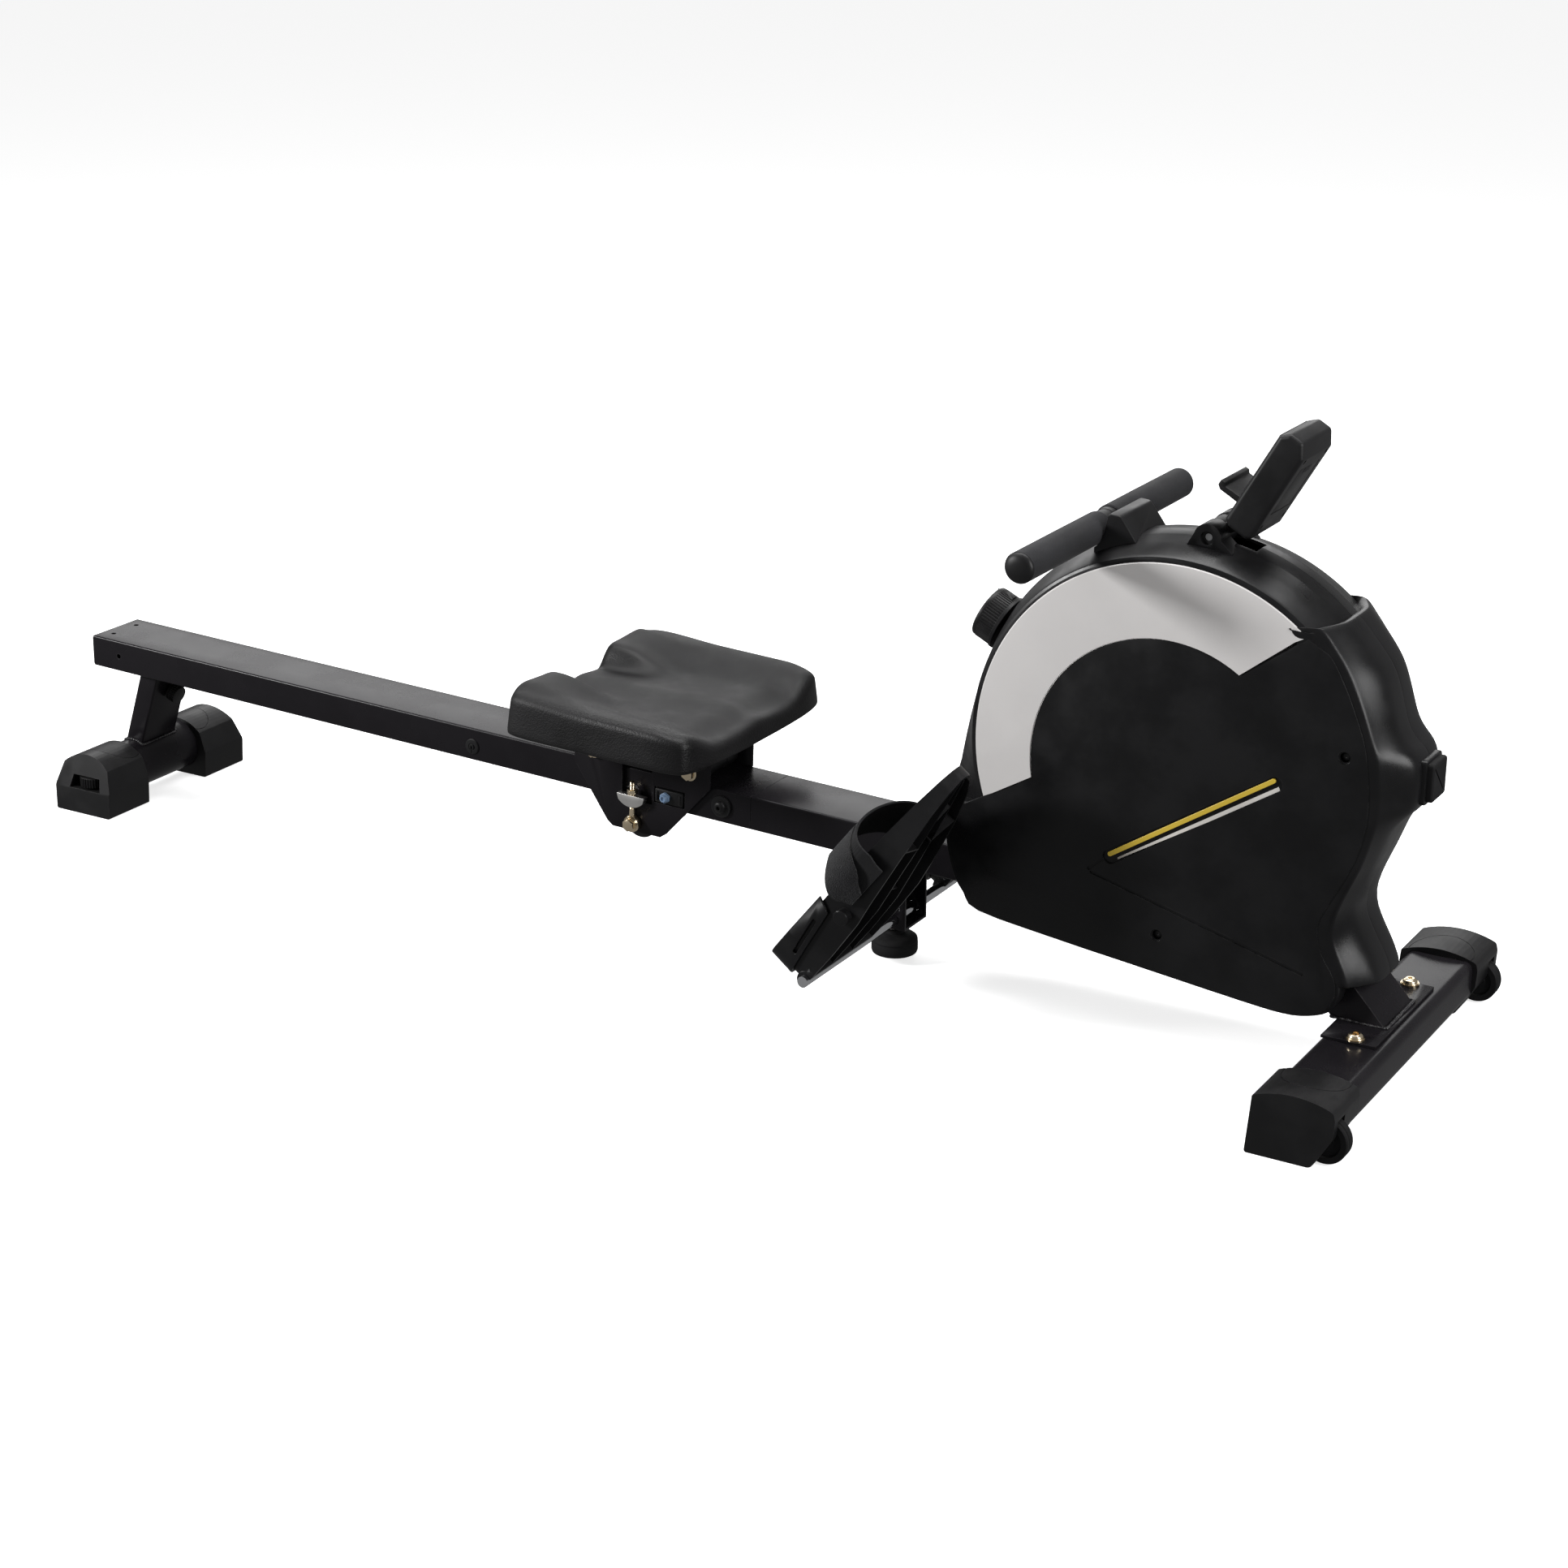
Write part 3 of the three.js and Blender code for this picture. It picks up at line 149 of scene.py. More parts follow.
def block(bm, x0, x1, y0, y1, z0, z1, edge=0.0, segments=2):
    """A box with all its edges rounded."""
    size = Matrix.Diagonal((x1 - x0, y1 - y0, z1 - z0, 1))
    middle = Matrix.Translation(((x0 + x1) / 2, (y0 + y1) / 2, (z0 + z1) / 2))
    made = bmesh.ops.create_cube(bm, size=1, matrix=middle @ size)
    if edge:
        edges = list({e for v in made["verts"] for e in v.link_edges})
        bmesh.ops.bevel(
            bm, geom=edges, offset=edge, segments=segments, profile=0.5,
            affect="EDGES", material=-1, clamp_overlap=True,
        )
    return bm


def turned(bm, profile, start, direction, steps=40):
    """A lathe-turned shape: profile holds (radius, distance along the axis) from one end to the other."""
    axis = Vector(direction).normalized()
    place = Matrix.Translation(start) @ axis.to_track_quat("Z", "Y").to_matrix().to_4x4()
    verts = [bm.verts.new((r, 0, d)) for r, d in profile]
    edges = [bm.edges.new(pair) for pair in zip(verts, verts[1:])]
    before = set(bm.verts) - set(verts)
    bmesh.ops.spin(
        bm, geom=verts + edges, cent=(0, 0, 0), axis=(0, 0, 1),
        angle=FULL_TURN, steps=steps, use_merge=True,
    )
    made = [v for v in bm.verts if v not in before]
    bmesh.ops.remove_doubles(bm, verts=made, dist=0.001)
    made = [v for v in bm.verts if v not in before]
    bmesh.ops.transform(bm, matrix=place, verts=made)
    return bm


def rounded_rod(radius, length, edge, steps=4):
    """Profile of a plain round bar with rounded ends."""
    low = [(radius - edge + edge * math.sin(t), edge - edge * math.cos(t)) for t in quarter(steps)]
    high = [(r, length - d) for r, d in reversed(low)]
    return [(0, 0), *low, *high, (0, length)]


def quarter(steps):
    return [math.pi / 2 * i / steps for i in range(steps + 1)]


def bar(bm, x, z, y0, y1, radius, edge=0.6, steps=40):
    """A round bar across the machine."""
    return turned(bm, rounded_rod(radius, y1 - y0, edge), (x, y0, z), (0, 1, 0), steps)


def hexagon(bm, start, direction, across, height, edge=0.8):
    """A hexagon head or nut with its corners turned off at the free end."""
    radius = across / math.sqrt(3)
    axis = Vector(direction).normalized()
    place = Matrix.Translation(start) @ axis.to_track_quat("Z", "Y").to_matrix().to_4x4()
    lift = Matrix.Translation((0, 0, height / 2))
    made = bmesh.ops.create_cone(
        bm, cap_ends=True, segments=6, radius1=radius, radius2=radius, depth=height, matrix=place @ lift,
    )
    edges = list({e for v in made["verts"] for e in v.link_edges})
    bmesh.ops.bevel(
        bm, geom=edges, offset=edge, segments=2, profile=0.5, affect="EDGES", material=-1, clamp_overlap=True,
    )
    return bm


def loose_object(bm, name):
    mesh = bpy.data.meshes.new(name)
    bmesh.ops.recalc_face_normals(bm, faces=bm.faces)
    bm.to_mesh(mesh)
    bm.free()
    shape = bpy.data.objects.new(name, mesh)
    bpy.context.scene.collection.objects.link(shape)
    return shape


def carved(bm, *tools, operation="DIFFERENCE"):
    """The shape with each tool shape cut out of it, or kept or joined as the operation says."""
    base = loose_object(bm, "carving")
    cutters = [loose_object(tool, "cutter") for tool in tools]
    for cutter in cutters:
        cut = base.modifiers.new("cut", "BOOLEAN")
        cut.object, cut.operation, cut.solver = cutter, operation, "EXACT"
    bpy.context.view_layer.update()
    result = bmesh.new()
    result.from_object(base, bpy.context.evaluated_depsgraph_get())
    for shape in (base, *cutters):
        mesh = shape.data
        bpy.data.objects.remove(shape)
        bpy.data.meshes.remove(mesh)
    return result


def shape_of(build, *values, **named):
    """A fresh mesh with one helper shape in it."""
    return build(bmesh.new(), *values, **named)


def finish(bm, name, look, body, stands_for=(), place=MACHINE, angle=40, soften=0.0, flip=False, levels=0):
    """Turns a modelled shape into a finished piece that rides on its body."""
    if flip:
        bmesh.ops.scale(bm, vec=(1, -1, 1), verts=bm.verts)
    bmesh.ops.remove_doubles(bm, verts=bm.verts, dist=0.002)
    bmesh.ops.recalc_face_normals(bm, faces=bm.faces)
    bm.transform(place)
    mesh = bpy.data.meshes.new(name)
    bm.to_mesh(mesh)
    bm.free()
    mesh.shade_smooth()
    if not soften and not levels:
        mesh.set_sharp_from_angle(angle=math.radians(angle))
    piece = bpy.data.objects.new(name, mesh)
    bpy.context.scene.collection.objects.link(piece)
    if soften:
        rounding = piece.modifiers.new("rounded edges", "BEVEL")
        rounding.width, rounding.segments = soften * MM, 2
        rounding.limit_method, rounding.angle_limit = "ANGLE", math.radians(30)
        rounding.harden_normals = True
    if levels:
        smooth = piece.modifiers.new("smooth surface", "SUBSURF")
        smooth.levels = smooth.render_levels = levels
    slot, material = LOOKS[look]
    piece.data.materials.append(bpy.data.materials[material])
    if body:
        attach(piece, body)
    if stands_for:
        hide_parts(*stands_for)
    return piece


def both_sides(build, name, look, bodies, stands_for=None, **options):
    """The right piece and its mirror image on the left."""
    for side, flip in (("right", False), ("left", True)):
        body = bodies if isinstance(bodies, str) else bodies[flip]
        nodes = (f"{stands_for}_{side}",) if stands_for else ()
        finish(build(), f"{name}_{side}", look, body, nodes, flip=flip, **options)


# ---------------------------------------------------------------- finishes: shared effects
LOOKS = {
    "paint": ("paint", "satin black paint"),
    "plastic": ("plastic", "black moulded plastic"),
    "shell": ("plastic", "satin cover plastic"),
    "rubber": ("rubber", "black rubber"),
    "foam": ("foam", "foam grip"),
    "white": ("gloss_white", "gloss white panel"),
    "accent": ("gloss_white", "yellow accent"),
    # a pale strip that stands for the light reflected in the accent groove's lower bevel: a painted highlight
    "painted_highlight": ("gloss_white", "painted bevel highlight"),
    "zinc": ("zinc", "yellow zinc plate"),
    "bright": ("zinc", "bright zinc plate"),
    "chrome": ("chrome", "chromed bar"),
    "steel": ("steel", "machined steel"),
    "webbing": ("webbing", "black webbing"),
    "fleece": ("webbing", "loop fastener"),
    "seat": ("seat_skin", "moulded seat skin"),
    "nylon": ("plastic", "blue nylon"),
    "weld": ("paint", "painted weld"),
    "display": ("display", "display window"),
}


def new_group(name, inputs, outputs):
    """An empty shader node group with number and vector sockets."""
    group = bpy.data.node_groups.new(name, "ShaderNodeTree")
    for label, kind, default in inputs:
        socket = group.interface.new_socket(label, in_out="INPUT", socket_type=kind)
        if default is not None:
            socket.default_value = default
    for label, kind in outputs:
        group.interface.new_socket(label, in_out="OUTPUT", socket_type=kind)
    return group, group.nodes.new("NodeGroupInput"), group.nodes.new("NodeGroupOutput")


def node(tree, kind, settings=None, **inputs):
    """Adds a node; inputs given as numbers are set, and given as sockets are linked."""
    made = tree.nodes.new(kind)
    for key, value in (settings or {}).items():
        setattr(made, key, value)
    for key, value in inputs.items():
        label = key.replace("_", " ")
        target = made.inputs[int(key[1:])] if key[0] == "i" and key[1:].isdigit() else made.inputs[label]
        if isinstance(value, bpy.types.NodeSocket):
            tree.links.new(value, target)
        else:
            target.default_value = value
    return made


def maths(tree, operation, a, b=0.0, clamp=False):
    return node(tree, "ShaderNodeMath", {"operation": operation, "use_clamp": clamp}, i0=a, i1=b).outputs[0]


def ramp(tree, value, low, high, to_low=0.0, to_high=1.0):
    made = node(
        tree, "ShaderNodeMapRange", {"interpolation_type": "SMOOTHSTEP"},
        Value=value, From_Min=low, From_Max=high, To_Min=to_low, To_Max=to_high,
    )
    return made.outputs[0]


VECTOR, NUMBER = "NodeSocketVector", "NodeSocketFloat"


def build_mottle_group():
    """Slow uneven variation over a surface, from 0 to 1."""
    group, inside, out = new_group(
        "mottle", [("Vector", VECTOR, None), ("Scale", NUMBER, 20.0)], [("Value", NUMBER)]
    )
    v, s = inside.outputs["Vector"], inside.outputs["Scale"]
    broad = node(group, "ShaderNodeTexNoise", Vector=v, Scale=s, Detail=4.0, Roughness=0.6)
    group.links.new(ramp(group, broad.outputs[0], 0.3, 0.7), out.inputs[0])


def build_edge_wear_group():
    """A mask that shows polished, rubbed edges, broken up by noise."""
    inputs = [("Vector", VECTOR, None), ("Radius", NUMBER, 0.0015), ("Break up", NUMBER, 90.0)]
    group, inside, out = new_group("edge wear", inputs, [("Mask", NUMBER)])
    shape = node(group, "ShaderNodeNewGeometry").outputs["Normal"]
    soft = node(group, "ShaderNodeBevel", {"samples": 4}, Radius=inside.outputs["Radius"]).outputs[0]
    same = node(
        group, "ShaderNodeVectorMath", {"operation": "DOT_PRODUCT"}, i0=shape, i1=soft
    ).outputs["Value"]
    edge = ramp(group, same, 0.99, 0.86)
    noise = node(
        group, "ShaderNodeTexNoise", Vector=inside.outputs["Vector"], Scale=inside.outputs["Break up"],
        Detail=5.0,
    )
    broken = ramp(group, noise.outputs[0], 0.42, 0.68)
    group.links.new(maths(group, "MULTIPLY", edge, broken), out.inputs[0])


def build_dust_group():
    """A light film that settles on upward faces."""
    group, inside, out = new_group(
        "dust", [("Vector", VECTOR, None), ("Scale", NUMBER, 30.0)], [("Mask", NUMBER)]
    )
    up = node(
        group, "ShaderNodeSeparateXYZ", i0=node(group, "ShaderNodeNewGeometry").outputs["Normal"]
    ).outputs[2]
    v, s = inside.outputs["Vector"], inside.outputs["Scale"]
    noise = node(group, "ShaderNodeTexNoise", Vector=v, Scale=s, Detail=6.0, Roughness=0.7)
    film = maths(group, "MULTIPLY", ramp(group, up, 0.35, 0.95), ramp(group, noise.outputs[0], 0.35, 0.75))
    group.links.new(film, out.inputs[0])


def build_grain_group():
    """Fine moulded or sprayed grain: small bumps over a slower orange peel."""
    inputs = [("Vector", VECTOR, None), ("Scale", NUMBER, 900.0), ("Peel", NUMBER, 0.3)]
    group, inside, out = new_group("grain", inputs, [("Height", NUMBER)])
    v, s = inside.outputs["Vector"], inside.outputs["Scale"]
    fine = node(group, "ShaderNodeTexNoise", Vector=v, Scale=s, Detail=3.0).outputs[0]
    slow = node(
        group, "ShaderNodeTexNoise", Vector=v, Scale=maths(group, "MULTIPLY", s, 0.15), Detail=2.0
    ).outputs[0]
    mixed = maths(group, "ADD", fine, maths(group, "MULTIPLY", slow, inside.outputs["Peel"]))
    group.links.new(mixed, out.inputs[0])


def build_leather_group():
    """Pebbled skin grain: rounded cells with soft valleys."""
    group, inside, out = new_group(
        "leather", [("Vector", VECTOR, None), ("Scale", NUMBER, 500.0)], [("Height", NUMBER)]
    )
    v, s = inside.outputs["Vector"], inside.outputs["Scale"]
    cells = node(group, "ShaderNodeTexVoronoi", {"feature": "SMOOTH_F1"}, Vector=v, Scale=s, Smoothness=0.4)
    rough = node(group, "ShaderNodeTexNoise", Vector=v, Scale=maths(group, "MULTIPLY", s, 0.5), Detail=2.0)
    height = maths(group, "SUBTRACT", rough.outputs[0], cells.outputs["Distance"])
    group.links.new(height, out.inputs[0])


def scaled_axes(group, inside):
    """The group's vector times its scale, as separate x, y and z."""
    vector, scale = inside.outputs["Vector"], inside.outputs["Scale"]
    scaled = node(group, "ShaderNodeVectorMath", {"operation": "SCALE"}, i0=vector, Scale=scale).outputs[0]
    return node(group, "ShaderNodeSeparateXYZ", i0=scaled).outputs


def build_weave_group():
    """Crossed threads on a pitch given by Scale, with the weft under and over the warp."""
    group, inside, out = new_group(
        "weave", [("Vector", VECTOR, None), ("Scale", NUMBER, 2000.0)], [("Height", NUMBER)]
    )
    x, y, z = scaled_axes(group, inside)
    warp = maths(group, "ABSOLUTE", maths(group, "SINE", maths(group, "ADD", x, z)))
    weft = maths(group, "ABSOLUTE", maths(group, "SINE", y))
    over = maths(group, "MULTIPLY", maths(group, "ADD", warp, weft), 0.5)
    group.links.new(over, out.inputs[0])


def build_pores_group():
    """Open pores of a foam skin."""
    group, inside, out = new_group(
        "pores", [("Vector", VECTOR, None), ("Scale", NUMBER, 900.0)], [("Height", NUMBER)]
    )
    v, s = inside.outputs["Vector"], inside.outputs["Scale"]
    cells = node(group, "ShaderNodeTexVoronoi", Vector=v, Scale=s)
    pits = ramp(group, cells.outputs["Distance"], 0.05, 0.45)
    group.links.new(pits, out.inputs[0])


def build_dots_group():
    """Raised dots in a diamond grid, seen from above."""
    group, inside, out = new_group(
        "dots", [("Vector", VECTOR, None), ("Scale", NUMBER, 2600.0)], [("Height", NUMBER)]
    )
    x, y, _ = scaled_axes(group, inside)
    a = maths(group, "SINE", maths(group, "ADD", x, y))
    b = maths(group, "SINE", maths(group, "SUBTRACT", x, y))
    group.links.new(maths(group, "MULTIPLY_ADD", a, b), out.inputs[0])


def use_group(tree, name, vector, **values):
    made = tree.nodes.new("ShaderNodeGroup")
    made.node_tree = bpy.data.node_groups[name]
    tree.links.new(vector, made.inputs["Vector"])
    for key, value in values.items():
        made.inputs[key.replace("_", " ")].default_value = value
    return made.outputs[0]


def mix_colour(tree, factor, a, b):
    made = node(tree, "ShaderNodeMix", {"data_type": "RGBA"}, i0=factor)
    for index, value in ((6, a), (7, b)):
        if isinstance(value, bpy.types.NodeSocket):
            tree.links.new(value, made.inputs[index])
        else:
            made.inputs[index].default_value = (*value, 1)
    return made.outputs[2]


RUBBED, DUST = (0.30, 0.29, 0.29), (0.42, 0.40, 0.38)      # colours of rubbed edges and settled dust


def surface(
    name, colour, rough, grain, depth, scale, spread=0.06, contrast=0.25, wear=0.0, dust=0.0, **sockets
):
    """One finish: mottled colour and roughness, grain as bump, rubbed edges and dust."""
    material = bpy.data.materials.new(name)
    material.use_nodes = True
    tree = material.node_tree
    shader = tree.nodes["Principled BSDF"]
    spot = node(tree, "ShaderNodeTexCoord").outputs["Object"]
    mottle = use_group(tree, "mottle", spot, Scale=14.0)
    light = tuple(min(1.0, c * (1 + contrast)) for c in colour)
    dark = tuple(c * (1 - contrast) for c in colour)
    base = mix_colour(tree, mottle, dark, light)
    roughness = ramp(tree, mottle, 0, 1, rough - spread, rough + spread)
    if wear:
        mask = maths(tree, "MULTIPLY", use_group(tree, "edge wear", spot), wear)
        base = mix_colour(tree, mask, base, RUBBED)
    if dust:
        film = maths(tree, "MULTIPLY", use_group(tree, "dust", spot), dust)
        base = mix_colour(tree, film, base, DUST)
        roughness = maths(tree, "ADD", roughness, maths(tree, "MULTIPLY", film, 0.5), clamp=True)
    tree.links.new(base, shader.inputs["Base Color"])
    tree.links.new(roughness, shader.inputs["Roughness"])
    height = use_group(tree, grain, spot, Scale=scale)
    bump = node(tree, "ShaderNodeBump", Height=height, Strength=1.0, Distance=depth * MM)
    tree.links.new(bump.outputs[0], shader.inputs["Normal"])
    for label, value in sockets.items():
        shader.inputs[label.replace("_", " ")].default_value = value
    return material


def seat_surface(colour):
    """Self-skinned foam: fine dots on the sitting face, pebbled grain round the sides."""
    name = LOOKS["seat"][1]
    material = surface(
        name, colour, 0.5, "leather", 0.2, 620.0, contrast=0.2, dust=0.003, Specular_IOR_Level=0.3
    )
    tree = material.node_tree
    shader = tree.nodes["Principled BSDF"]
    leather = next(n for n in tree.nodes if n.type == "BUMP")
    spot = next(n for n in tree.nodes if n.type == "TEX_COORD").outputs["Object"]
    dots = use_group(tree, "dots", spot, Scale=2600.0)
    sides = leather.inputs["Height"].links[0].from_socket
    up = node(
        tree, "ShaderNodeSeparateXYZ", i0=node(tree, "ShaderNodeNewGeometry").outputs["Normal"]
    ).outputs[2]
    share = ramp(tree, up, 0.6, 0.9)
    height = node(
        tree, "ShaderNodeMix", i0=share, i2=sides, i3=maths(tree, "MULTIPLY", dots, 0.35)
    ).outputs[0]
    tree.links.new(height, leather.inputs["Height"])
    return shader


def build_finishes(tones):
    for build in (build_mottle_group, build_edge_wear_group, build_dust_group, build_grain_group,
                  build_leather_group, build_weave_group, build_pores_group, build_dots_group):
        build()
    black, metal = tuple(tones.black), tuple(tones.paint)
    surface("satin black paint", metal, 0.26, "grain", 0.012, 700.0, spread=0.02, contrast=0.1, wear=0.15,
            dust=0.004, Specular_IOR_Level=0.16)
    surface("painted weld", metal, 0.28, "grain", 0.5, 300.0, contrast=0.5, wear=0.3)
    surface("black moulded plastic", black, 0.42, "grain", 0.05, 1300.0, wear=0.08, dust=0.015,
            Specular_IOR_Level=0.3)
    surface("satin cover plastic", black, 0.33, "grain", 0.03, 1500.0, wear=0.06, dust=0.008,
            Specular_IOR_Level=0.25)
    surface("black rubber", black, 0.72, "pores", 0.05, 900.0, dust=0.03, Specular_IOR_Level=0.2)
    surface("foam grip", (0.016, 0.016, 0.018), 0.88, "pores", 0.14, 1300.0, dust=0.02,
            Specular_IOR_Level=0.2, Sheen_Weight=0.06, Sheen_Roughness=0.5)
    surface("gloss white panel", tuple(tones.white), 0.12, "grain", 0.012, 250.0, spread=0.03, contrast=0.02,
            dust=0.03, Coat_Weight=0.6, Coat_Roughness=0.05)
    surface("yellow accent", tuple(tones.accent), 0.35, "grain", 0.03, 900.0, contrast=0.06)
    # painted highlight: pale grey in place of the reflection along the lower bevel of the accent groove
    surface("painted bevel highlight", (0.56, 0.54, 0.51), 0.45, "grain", 0.05, 600.0, contrast=0.15)
    surface("yellow zinc plate", (0.83, 0.70, 0.50), 0.22, "grain", 0.03, 600.0, contrast=0.18, Metallic=1.0)
    surface("bright zinc plate", (0.78, 0.77, 0.75), 0.25, "grain", 0.03, 600.0, contrast=0.12, Metallic=1.0)
    surface(
        "chromed bar", (0.80, 0.81, 0.83), 0.10, "grain", 0.01, 300.0, spread=0.03, contrast=0.04,
        Metallic=1.0
    )
    surface("machined steel", (0.42, 0.42, 0.43), 0.35, "grain", 0.04, 500.0, contrast=0.15, Metallic=1.0)
    surface("black webbing", (0.012, 0.012, 0.013), 0.85, "weave", 0.35, 2400.0, contrast=0.35,
            Specular_IOR_Level=0.15, Sheen_Weight=0.05)
    surface("loop fastener", (0.010, 0.010, 0.011), 0.95, "leather", 0.9, 1100.0, contrast=0.6,
            Specular_IOR_Level=0.1, Sheen_Weight=0.12)
    surface("blue nylon", (0.20, 0.30, 0.45), 0.40, "grain", 0.03, 700.0, contrast=0.15)
    surface("display window", (0.03, 0.035, 0.03), 0.10, "grain", 0.004, 200.0, spread=0.03, Coat_Weight=1.0)
    seat_surface(tuple(tones.seat))


# ---------------------------------------------------------------- more shape helpers
def bridged(bm, rows, closed=False, capped=False):
    """A skin through rows of points, each row joined to the next; closed rows make a tube."""
    loops = []
    for row in rows:
        verts = [bm.verts.new(point) for point in row]
        pairs = list(zip(verts, verts[1:]))
        if closed:
            pairs.append((verts[-1], verts[0]))
        loops.append([bm.edges.new(pair) for pair in pairs])
    for low, high in zip(loops, loops[1:]):
        bmesh.ops.bridge_loops(bm, edges=low + high)
    if capped:
        for loop in (loops[0], loops[-1]):
            bmesh.ops.contextual_create(bm, geom=loop)
    return bm


def ribbon(bm, path, across, width, thick):
    """A flat strap along a path; across is the direction of its width."""
    side = Vector(across).normalized() * width / 2
    points = [Vector(p) for p in path]
    rows = []
    for i, point in enumerate(points):
        along = points[min(i + 1, len(points) - 1)] - points[max(i - 1, 0)]
        out = along.cross(side).normalized() * thick / 2
        rim = side * (1 - 0.6 / width)
        rows.append([
            point - side, point - rim + out, point + rim + out, point + side, point + rim - out,
            point - rim - out,
        ])
    return bridged(bm, rows, closed=True, capped=True)


def from_frame(name, look, body, soften=0.8):
    """The packed part's own shape with its facets merged and its edges rounded."""
    bm = bmesh.new()
    bm.from_mesh(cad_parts[name].data)
    bmesh.ops.remove_doubles(bm, verts=bm.verts, dist=1e-6)
    bmesh.ops.dissolve_limit(bm, angle_limit=math.radians(1), verts=bm.verts, edges=bm.edges)
    bm.transform(MACHINE.inverted())
    return finish(bm, f"{name}_finished", look, body, (name,), soften=soften)


def gear_outline(radius, depth, teeth):
    """A ribbed rim: each rib is a flat-topped tooth."""
    points = []
    for i in range(teeth):
        for share, reach in ((0.0, radius - depth), (0.25, radius), (0.6, radius), (0.85, radius - depth)):
            angle = FULL_TURN * (i + share) / teeth
            points.append((reach * math.cos(angle), reach * math.sin(angle)))
    return points


def socket_head(start, direction, radius, height, socket, washer=0.0, washer_radius=0.0):
    """A button-head screw with a hexagon socket, on a washer if one is given."""
    rise = [(0, 0), (washer_radius, 0), (washer_radius, washer)] if washer else [(0, 0)]
    rise += [(radius, washer), (radius, washer + height * 0.25)]
    rise += [
        (radius * math.cos(t) ** 0.7, washer + height * (0.25 + 0.75 * math.sin(t))) for t in quarter(6)[1:-1]
    ]
    rise += [(radius * 0.55, washer + height), (0, washer + height)]
    head = shape_of(turned, rise, start, direction, 32)
    axis = Vector(direction).normalized()
    bottom = Vector(start) + axis * (washer + height * 0.4)
    return carved(head, shape_of(hexagon, bottom, direction, socket, height, edge=0.05))


def weld_bead(bm, path, radius, pitch=1.6):
    """Overlapping ripples of weld metal along a path."""
    points = [Vector(p) for p in path]
    for a, b in zip(points, points[1:]):
        count = max(1, round((b - a).length / pitch))
        for i in range(count):
            centre = a.lerp(b, i / count)
            swell = radius * (1 + 0.22 * math.sin(centre.x * 3.1 + centre.y * 1.7 + centre.z * 2.3))
            size = Matrix.Diagonal((swell, swell, swell * 0.8, 1))
            bmesh.ops.create_icosphere(bm, subdivisions=1, radius=1, matrix=Matrix.Translation(centre) @ size)
    return bm


# ---------------------------------------------------------------- rail, stop bolt and plugs
def rail_tube(x0, x1):
    w, h = RAIL_HALF, RAIL_HEIGHT
    t = RAIL_WALL
    outer = shape_of(extruded, rounded(rectangle(-w, w, -h, 0), 2.6), x0, x1, along="x")
    room = shape_of(extruded, rounded(rectangle(t - w, w - t, t - h, -t), 1.0), x0 - 1, x1 + 1, along="x")
    return outer, room


def make_rail():
    outer, room = rail_tube(0, RAIL_LENGTH)
    tools = [shape_of(turned, rounded_rod(3, 20, 0.1), (15, y, -12), (0, 0, 1), 24) for y in (-20, 20)]
    tools.append(shape_of(bar, 40, -19, -50, 50, 3, 0.1, 24))
    finish(carved(outer, room, *tools), "rail_tube", "paint", "frame", ("rail",), RAIL, soften=0.3)
    outer, room = rail_tube(RAIL_LENGTH + 0.3, BEAM_END)
    finish(carved(outer, room), "front_beam_tube", "paint", "frame", ("front_beam",), RAIL, soften=0.3)

    bolt = bmesh.new()
    for side in (-1, 1):
        head = socket_head((899, side * 40.3, -19), (0, side, 0), 7, 5, 4.4, washer=2.6, washer_radius=12)
        mesh = bpy.data.meshes.new("head")
        head.to_mesh(mesh)
        head.free()
        bolt.from_mesh(mesh)
        bpy.data.meshes.remove(mesh)
    bar(bolt, 899, -19, -40, 40, 4)
    finish(bolt, "front_stop_bolt_finished", "plastic", "frame", ("front_stop_bolt",), RAIL)

    def plug():
        disc = [
            (0, 0), (9, 0), (9, 0.8), (8.2, 1.6), (4.6, 1.8), (4.2, 1.2), (3.4, 1.2), (3.0, 2.4),
            (1.2, 2.4), (1, 1.2), (0, 1.2)
        ]
        shape = shape_of(turned, disc, (568, -40, -21.5), (0, -1, 0), 40)
        slot = shape_of(block, 567, 569, -43, -41, -30, -22.5)
        return carved(shape, slot)

    both_sides(plug, "rail_side_plug", "plastic", "frame", place=RAIL)
    w, h = RAIL_HALF, RAIL_HEIGHT
    end = shape_of(
        extruded, rounded(rectangle(0.8 - w, w - 0.8, 0.8 - h, -0.8), 2.4), -1.6, 0, along="x", edge=0.5
    )
    extruded(end, rounded(rectangle(2.3 - w, w - 2.3, 2.3 - h, -2.3), 1.0), 0, 12, along="x", edge=0.4)
    finish(end, "rail_end_plug", "plastic", "frame", (), RAIL)


# ---------------------------------------------------------------- rear leg, feet and levellers
STRUT_LEAN = 0.352
REAR_X, REAR_Z, REAR_RADIUS = 42, 38, 30


